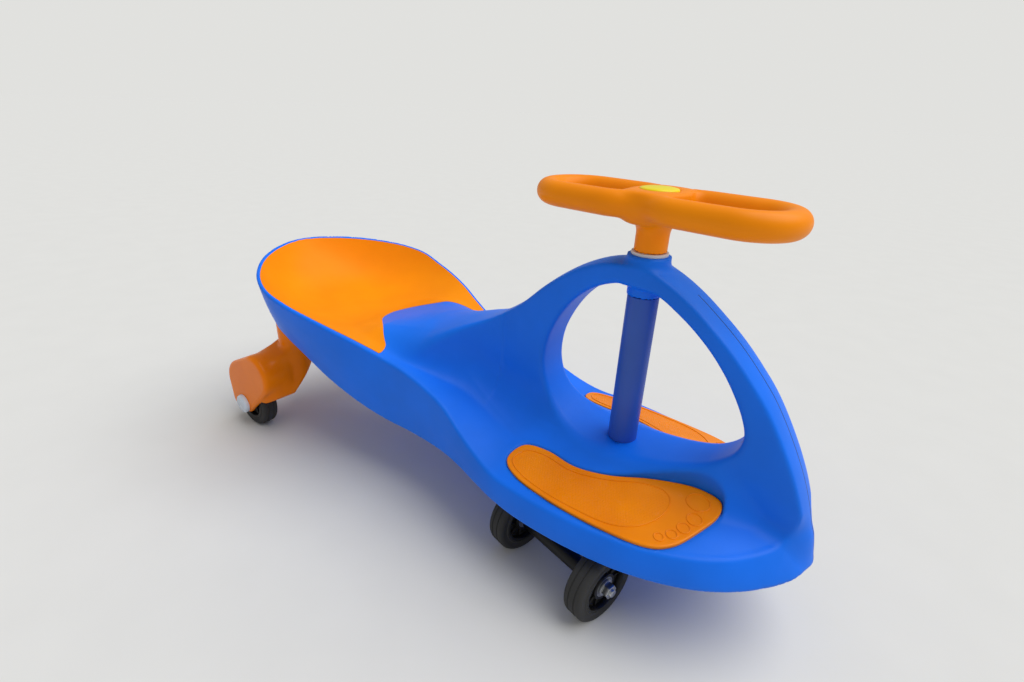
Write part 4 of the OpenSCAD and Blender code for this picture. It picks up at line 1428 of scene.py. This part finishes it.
    def pebble_points(self) -> Array:
        """Spreads the pebbles in a staggered grid inside the sole line.

        Returns:
            Their places on the pad's plane, one row each.
        """
        step = self.pebble_step
        spots = []
        for row, y in enumerate(np.arange(0.0, self.width_share * self.length, step * math.sqrt(0.75))):
            for x in np.arange(0.0, self.length, step):
                spots.append((x + step / 2 * (row % 2), y))
        spots = np.array(spots)
        return spots[loop_distance(self.sole, spots[:, 0], spots[:, 1]) < -self.pebble_margin]

    def build(self) -> None:
        """Builds both pads and their relief."""
        beads, pebbles = bead_tree(PAD_ORANGE), pebble_tree(PAD_ORANGE)
        low = self.top - self.dish
        lines, spots = self.relief_lines(), self.pebble_points()
        edges, first = [], 0
        for ring in lines:
            edges += [(first + i, first + (i + 1) % len(ring)) for i in range(len(ring))]
            first += len(ring)
        for side in Side:
            self.build_plate(side)
            rings = beads.run(f"foot_pad_rings_{side.tag}",
                              self.on_deck(np.concatenate(lines), low + self.bead_lift, side), edges,
                              {"Bead radius": self.bead})
            place(rings, "car_body", "pad_orange")
            bumps = pebbles.run(f"foot_pad_pebbles_{side.tag}",
                                self.on_deck(spots, low - self.pebble_sunk, side), [],
                                {"Pebble radius": self.pebble})
            place(bumps, "car_body", "pad_orange")


@dataclass
class SteeringWheel:
    """The figure-eight steering wheel with its stem and the cap on its hub. Sizes in millimetres."""

    half: float = 125.0
    bend: float = 35.0
    tube: float = 11.5
    tube_flat_share: float = 0.98
    hub: float = 27.0
    hub_round: float = 5.0
    stem: float = 15.0
    stem_low: float = 344.35
    mid: float = 386.85
    hub_top: float = 398.85
    waist_blend: float = 18.0
    hub_blend: float = 14.0
    stem_blend: float = 11.0
    flat_out: float = 8.0
    flat_over: float = 0.4
    flat_round: float = 3.0
    bore: float = 8.3
    cap: float = 17.5
    cap_gap: float = 0.35
    cap_deep: float = 1.0
    pocket: float = 10.2
    pocket_deep: float = 14.0
    turn: float = -6.0
    box_wide: float = 56.0
    box_side: float = 5.0
    box_under: float = 4.0
    box_high: float = 20.0
    cell: float = 1.7
    crease_angle: float = 55.0
    cap_steps: int = 72

    # Radius of the cap's section and its height over the hub.
    CAP = ((0.0, 2.3), (8.0, 2.15), (14.0, 1.6), (16.4, 1.1), (17.2, 0.5), (17.4, -0.3), (17.4, -0.9),
           (9.8, -0.9), (9.8, -2.4), (0.0, -2.4))

    def loop_field(self, x: Array, y: Array, z: Array) -> Array:
        """Field of the hand loop on the positive side of X.

        Args:
            x: places along the wheel.
            y: places across.
            z: heights over its middle.

        Returns:
            The field.
        """
        far = self.half - self.bend - self.tube
        centre, run = (far + self.bend) / 2, (far - self.bend) / 2
        line = np.abs(np.hypot(np.maximum(np.abs(x - centre) - run, 0.0), y) - self.bend)
        return np.hypot(line, z * self.tube_flat_share) - self.tube

    def field(self, x: Array, y: Array, z: Array) -> Array:
        """Field of the wheel about its own middle.

        Args:
            x: places along the wheel.
            y: places across.
            z: heights over its middle.

        Returns:
            The field.
        """
        around, top = np.hypot(x, y), self.hub_top - self.mid
        disc = soft_max(around - self.hub, np.abs(z) - top, self.hub_round)
        loops = soft_min(self.loop_field(x, y, z), self.loop_field(-x, y, z), self.waist_blend)
        stem = np.maximum(around - self.stem, np.maximum(z, self.stem_low - self.mid - z))
        solid = soft_min(soft_min(loops, disc, self.hub_blend), stem, self.stem_blend)
        solid = np.maximum(solid, self.bore - around)
        over = np.maximum(around - self.hub - self.flat_out, top + self.flat_over - z)
        solid = soft_max(solid, -over, self.flat_round)
        solid = np.maximum(solid, -np.maximum(around - self.cap - self.cap_gap, top - self.cap_deep - z))
        return np.maximum(solid, -np.maximum(around - self.pocket, top - self.pocket_deep - z))

    def build(self) -> None:
        """Meshes the wheel and its cap."""
        reach = self.half + self.box_side
        low = (-reach, -self.box_wide, self.stem_low - self.mid - self.box_under)
        points, quads = Mesher(low, (reach, self.box_wide, self.box_high), self.cell).run(self.field)
        turn = np.array(Matrix.Rotation(math.radians(self.turn), 3, "Z"))
        points = to_row(points @ turn.T + np.array([0, 0, self.mid]))
        wheel = make_object("figure_eight_wheel", points, quads, GRIP_ORANGE)
        crease(wheel, self.crease_angle)
        place(wheel, "steering", "grip_orange", "steering_wheel")
        cap = spun("hub_disc", self.CAP, self.cap_steps, CAP_YELLOW, Matrix.Translation((0, 0, self.hub_top)))
        place(cap, "steering", "cap_yellow", "hub_cap")


@dataclass
class RearLeg:
    """A glossy wheel housing with its post, made for the left side and mirrored. Sizes in millimetres.

    Places are taken from the wheel's middle, and the corners of the housing are circles in side view.
    """

    lower: Circle = (0.0, 0.0, 16.0)
    heel: Circle = (-20.0, 1.0, 15.5)
    hood: Circle = (0.0, 30.0, 38.0)
    knee: Circle = (42.0, 58.0, 31.0)
    cheek_out: float = 19.42
    slot_half: float = 12.92
    slot_reach: float = 80.0
    slot_round: float = 1.2
    pocket: float = 42.5
    post: Circle = (57.0, -41.5, 21.0)
    post_top: float = 139.2
    post_blend: float = 5.0
    web: Circle = (46.0, -9.7, 21.0)
    web_top: float = 81.0
    web_lean: float = 0.65
    floor: tuple[float, float] = (42.0, 10.0)
    floor_rise: float = 0.55
    floor_lean: float = 1.25
    floor_from: float = -24.0
    roof_flank: float = 0.84
    floor_flank: float = 0.65
    bore: float = 4.0
    edge: float = 7.0
    box_low: tuple[float, float, float] = (-44.0, -72.0, -26.0)
    box_high: tuple[float, float, float] = (86.0, 26.0, 146.0)
    cell: float = 1.8
    crease_angle: float = 50.0
    cap_steps: int = 56

    # Radius of the axle cap's section and its height over the cheek.
    CAP = ((0.0, 6.3), (7.0, 6.2), (11.6, 5.6), (13.4, 4.4), (14.0, 2.6), (14.0, 0.1), (7.9, 0.1), (7.9, 4.1),
           (0.0, 4.1))

    def arm_field(self, x: Array, y: Array, z: Array) -> Array:
        """Field of the post and of the web that joins it to the housing.

        Args:
            x: places along the car.
            y: places across.
            z: heights.

        Returns:
            The field.
        """
        px, py, radius = self.post
        column = np.maximum(np.hypot(x - px, y - py) - radius, z - self.post_top)
        roof = self.roof_flank * (z - self.web_top + self.web_lean * y)
        web = soft_max(round_cone(x, y, self.web, self.post), roof, self.edge)
        floor = self.floor[1] + self.floor_rise * (x - self.floor[0])
        floor = floor + self.floor_lean * np.maximum(self.floor_from - y, 0.0)
        return soft_max(soft_min(web, column, self.post_blend), self.floor_flank * (floor - z), self.edge)

    def field(self, x: Array, y: Array, z: Array) -> Array:
        """Field of the leg about its wheel's middle.

        Args:
            x: places along the car.
            y: places across.
            z: heights.

        Returns:
            The field.
        """
        corners = (self.lower, self.heel, self.hood, self.knee)
        sides = [(a, b) for k, a in enumerate(corners) for b in corners[k + 1:]]
        hood = np.minimum.reduce([round_cone(x, z, a, b) for a, b in sides])
        housing = soft_max(hood, np.abs(y) - self.cheek_out, self.edge)
        solid = soft_min(housing, self.arm_field(x, y, z), self.edge)
        between, around = np.abs(y) - self.slot_half, np.hypot(x, z)
        slot = np.maximum(around - self.pocket, between)
        below = np.maximum(np.maximum(z, between), np.abs(x) - self.slot_reach)
        solid = soft_max(solid, -np.minimum(slot, below), self.slot_round)
        return np.maximum(solid, self.bore - around)

    def cap_stand(self, side: Side) -> Matrix:
        """Place of the axle cap on the outer cheek.

        Args:
            side: the leg's side.

        Returns:
            Its place and turn.
        """
        x, y, z = REAR_AXLE
        turn = Matrix.Rotation(-side.value * math.pi / 2, 4, "X")
        return Matrix.Translation((x, side.value * (y + self.cheek_out), z)) @ turn

    def build(self) -> None:
        """Meshes the leg once and places it, with its cap, on both sides."""
        points, quads = Mesher(self.box_low, self.box_high, self.cell).run(self.field)
        for side in Side:
            faces = quads if side is Side.LEFT else quads[:, ::-1]
            at = to_row((points + np.array(REAR_AXLE)) * side.mirror)
            leg = make_object(f"wheel_housing_{side.tag}", at, faces, LEG_ORANGE)
            crease(leg, self.crease_angle)
            place(leg, "car_body", "leg_orange", f"rear_leg_{side.tag}")
            cap = spun(f"axle_disc_{side.tag}", self.CAP, self.cap_steps, CAP_WHITE, self.cap_stand(side))
            place(cap, "car_body", "cap_white", f"axle_cap_{side.tag}")


@dataclass
class Wheel:
    """A wheel with a grooved tyre and a dished hub with ribs. Sizes in millimetres."""

    pair: str
    tag: str
    middle: Vector
    axle: Vector
    radius: float = 39.0
    width: float = 22.0
    rim: float = 27.3
    bead: float = 1.6
    wall_from: float = 2.4
    wall_until: float = 6.5
    wall_deep: float = 0.7
    shoulder: float = 4.2
    shoulder_from: float = 4.6
    shoulder_in: float = 0.1
    shoulder_arc: tuple[float, float, int] = (0.15, 1.57, 7)
    groove: float = 0.9
    groove_edges: tuple[float, ...] = (4.6, 4.1, 3.1, 2.6)
    tyre_steps: int = 96
    hub_steps: int = 72
    rib: float = 1.5
    rib_count: int = 10
    rib_out: float = 4.9
    rib_from: float = 13.9
    rib_to: float = 24.6

    # Radius and distance from the middle of half of the hub's section.
    HUB = ((9.0, 1.5), (11.0, 1.5), (11.0, 8.3), (11.3, 8.5), (13.6, 8.5), (14.0, 8.1), (14.4, 4.6),
           (15.2, 4.25), (23.2, 4.25), (24.1, 4.7), (24.4, 10.2), (24.9, 10.8), (27.0, 11.0), (27.3, 10.7))

    @staticmethod
    def closed(half: Profile) -> Profile:
        """Mirrors half of a section into a closed one."""
        return [*half, *((r, -h) for r, h in reversed(half))]

    def tyre_profile(self) -> Profile:
        """Draws the tyre's section, with rounded shoulders and two grooves.

        Returns:
            The closed section.
        """
        h, r, s = self.width / 2, self.radius, self.shoulder
        wall, low = h - self.wall_deep, r - self.groove
        half = [(self.rim, h), (self.rim + self.bead, h), (self.rim + self.wall_from, wall),
                (r - self.wall_until, wall), (r - self.shoulder_from, h - self.shoulder_in)]
        for a in np.linspace(*self.shoulder_arc):
            half.append((r - s + s * math.sin(a), h - s + (s - self.shoulder_in) * math.cos(a)))
        half += zip((r, low, low, r), self.groove_edges)
        return self.closed(half)

    def rib_points(self, stand: Matrix) -> Array:
        """Ends of the ribs on both faces of the hub.

        Args:
            stand: place and turn of the wheel.

        Returns:
            The ends, two for each rib, in metres in the row frame.
        """
        spots = []
        for face in (-self.rib_out, self.rib_out):
            for k in range(self.rib_count):
                turn = 2 * math.pi * k / self.rib_count
                for r in (self.rib_from, self.rib_to):
                    spots.append(stand @ Vector((r * math.cos(turn), r * math.sin(turn), face)))
        return to_row(np.array([list(p) for p in spots]))

    def build(self) -> None:
        """Spins tyre and hub, sets the ribs, and places them on the wheel's body."""
        body, tyre_name, hub_name = (f"{self.pair}_{part}_{self.tag}" for part in ("wheel", "tyre", "hub"))
        stand = Matrix.Translation(self.middle) @ self.axle.to_track_quat("Z", "Y").to_matrix().to_4x4()
        tyre = spun(f"{tyre_name}_rubber", self.tyre_profile(), self.tyre_steps, TYRE_BLACK, stand)
        place(tyre, body, "tyre_black", tyre_name)
        hub = spun(f"{hub_name}_disc", self.closed(self.HUB), self.hub_steps, HUB_BLACK, stand)
        place(hub, body, "hub_black", hub_name)
        edges = [(2 * i, 2 * i + 1) for i in range(2 * self.rib_count)]
        ribs = bead_tree(HUB_BLACK).run(f"{hub_name}_ribs", self.rib_points(stand), edges,
                                        {"Bead radius": self.rib})
        place(ribs, body, "hub_black")


@dataclass
class RunningGear:
    """The four wheels. Sizes in millimetres."""

    steering: float = -103.0
    trail: float = 87.0
    front_half: float = 57.5

    def build(self) -> None:
        """Builds the front pair at the turned axle and the rear wheels under the seat."""
        x, y, height = REAR_AXLE
        turn = math.radians(self.steering)
        out = Vector((math.cos(turn), math.sin(turn), 0))
        along = Vector((-math.sin(turn), math.cos(turn), 0))
        hub = self.trail * out + Vector((0, 0, height))
        for tag, end in (("a", 1), ("b", -1)):
            Wheel("front", tag, hub + end * self.front_half * along, along).build()
        for side in Side:
            Wheel("rear", side.tag, Vector((x, side.value * y, height)), Vector((0, 1, 0))).build()


@dataclass
class SmallParts:
    """Nodes that keep their form and get rounded edges and a finish."""

    # Node, finish, width of the rounding in millimetres, body and slot.
    ROUNDED = (("column_sleeve", SLEEVE_BLUE, 0.6, "car_body", "sleeve_blue"),
               ("upper_bush", BUSH_GREY, 0.6, "car_body", "bush_grey"),
               ("lower_bush", BUSH_GREY, 0.6, "car_body", "bush_grey"),
               ("axle_frame", FRAME_BLACK, 1.2, "steering", "frame_black"),
               ("front_axles", ZINC, 0.7, "steering", "zinc_steel"),
               ("front_washers", ZINC, 0.3, "steering", "zinc_steel"),
               ("front_nuts", ZINC, 0.6, "steering", "zinc_steel"),
               ("front_spacers", ZINC, 0.4, "steering", "zinc_steel"),
               ("rear_axle_right", ZINC, 0.5, "car_body", "zinc_steel"),
               ("rear_axle_left", ZINC, 0.5, "car_body", "zinc_steel"))
    PLAIN = (("wheel_nut", ZINC), ("steering_shaft", STEEL), ("leg_screws", ZINC), ("rear_nuts", ZINC),
             ("front_bearings_a", STEEL), ("front_bearings_b", STEEL), ("rear_bearings_right", STEEL),
             ("rear_bearings_left", STEEL))

    def build(self) -> None:
        """Rounds what shows and paints the rest."""
        for node, finish, width, body, slot in self.ROUNDED:
            place(softened(f"{node}_rounded", node, finish, width), body, slot, node)
        for node, finish in self.PLAIN:
            paint(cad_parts[node].data, finish)
            log.info("%s keeps its form", node)


@dataclass
class Studio:
    """Pale floor, soft light and the photograph's camera. Lengths in metres, angles in degrees."""

    eye: Vector = Vector((0.3638, -0.4492, 0.4593))
    yaw: float = 36.1
    pitch: float = 24.4
    roll: float = 2.5
    lens: float = 18.17
    sensor: float = 36.0
    nearest: float = 0.01
    floor_half: float = 40.0
    pale: Colour = (0.86, 0.86, 0.85)
    sky_power: float = 0.39
    back_power: float = 1.06
    sun_from: Vector = Vector((0.45, 0.3, 1.0))
    sun_spread: float = 60.0
    sun_power: float = 2.4

    def build(self) -> None:
        """Makes floor, light and camera."""
        self.floor()
        self.sky()
        self.sun()
        self.camera()

    def floor(self) -> None:
        """Lays a pale matt floor with faint mottling."""
        corners = self.floor_half * np.array([(-1, -1, 0), (1, -1, 0), (1, 1, 0), (-1, 1, 0)])
        finish = Finish("studio_floor", self.pale, 0.9, mottle=0.004, depth=0.0, specular=0.0)
        make_object("pale_floor", corners, [(0, 1, 2, 3)], finish)

    def sky(self) -> None:
        """Sets soft light from all round, with the pale backdrop for the camera."""
        world = bpy.data.worlds.new("studio")
        bpy.context.scene.world = world
        world.use_nodes = True
        graph = Graph(world.node_tree)
        light = graph.fill(graph.tree.nodes["Background"], Color=(1.0, 1.0, 1.0, 1.0),
                           Strength=self.sky_power)
        back = graph.add("ShaderNodeBackground", Color=linear(self.pale), Strength=self.back_power)
        mix = graph.add("ShaderNodeMixShader", Fac=graph.add("ShaderNodeLightPath").outputs["Is Camera Ray"])
        for socket, shader in zip(mix.inputs[1:], (light, back)):
            graph.feed(socket, shader.outputs["Background"])
        graph.fill(graph.tree.nodes["World Output"], Surface=mix.outputs["Shader"])

    def sun(self) -> None:
        """Hangs a soft, even light far above."""
        data = bpy.data.lights.new("overhead", "SUN")
        data.angle = math.radians(self.sun_spread)
        data.energy = self.sun_power
        made = link_object("overhead", data)
        made.rotation_euler = (-self.sun_from).to_track_quat("-Z", "Y").to_euler()

    def camera(self) -> None:
        """Sets the camera at the photograph's place and angle."""
        yaw, pitch, roll = (math.radians(a) for a in (self.yaw, self.pitch, self.roll))
        ahead = Vector((-math.sin(yaw) * math.cos(pitch), math.cos(yaw) * math.cos(pitch), -math.sin(pitch)))
        right = Vector((math.cos(yaw), math.sin(yaw), 0.0))
        up = right.cross(ahead)
        across = math.cos(roll) * right + math.sin(roll) * up
        upward = -math.sin(roll) * right + math.cos(roll) * up
        data = bpy.data.cameras.new("photo_view")
        data.sensor_width = self.sensor
        data.lens = self.lens
        data.clip_start = self.nearest
        made = link_object("photo_view", data)
        turn = Matrix((across, upward, -ahead)).transposed().to_4x4()
        made.matrix_world = Matrix.Translation(self.eye) @ turn
        bpy.context.scene.camera = made


def main() -> None:
    """Builds every piece of the car and the studio round it."""
    logging.basicConfig(level=logging.INFO, format="%(name)s: %(message)s")
    bpy.context.scene.view_settings.view_transform = "Standard"
    shell, pads = BodyShell(), FootPads()
    shell.build(pads)
    SeatPad(shell).build()
    pads.build()
    SteeringWheel().build()
    RearLeg().build()
    RunningGear().build()
    SmallParts().build()
    Studio().build()
    bpy.context.view_layer.update()


if __name__ == "__main__":
    main()
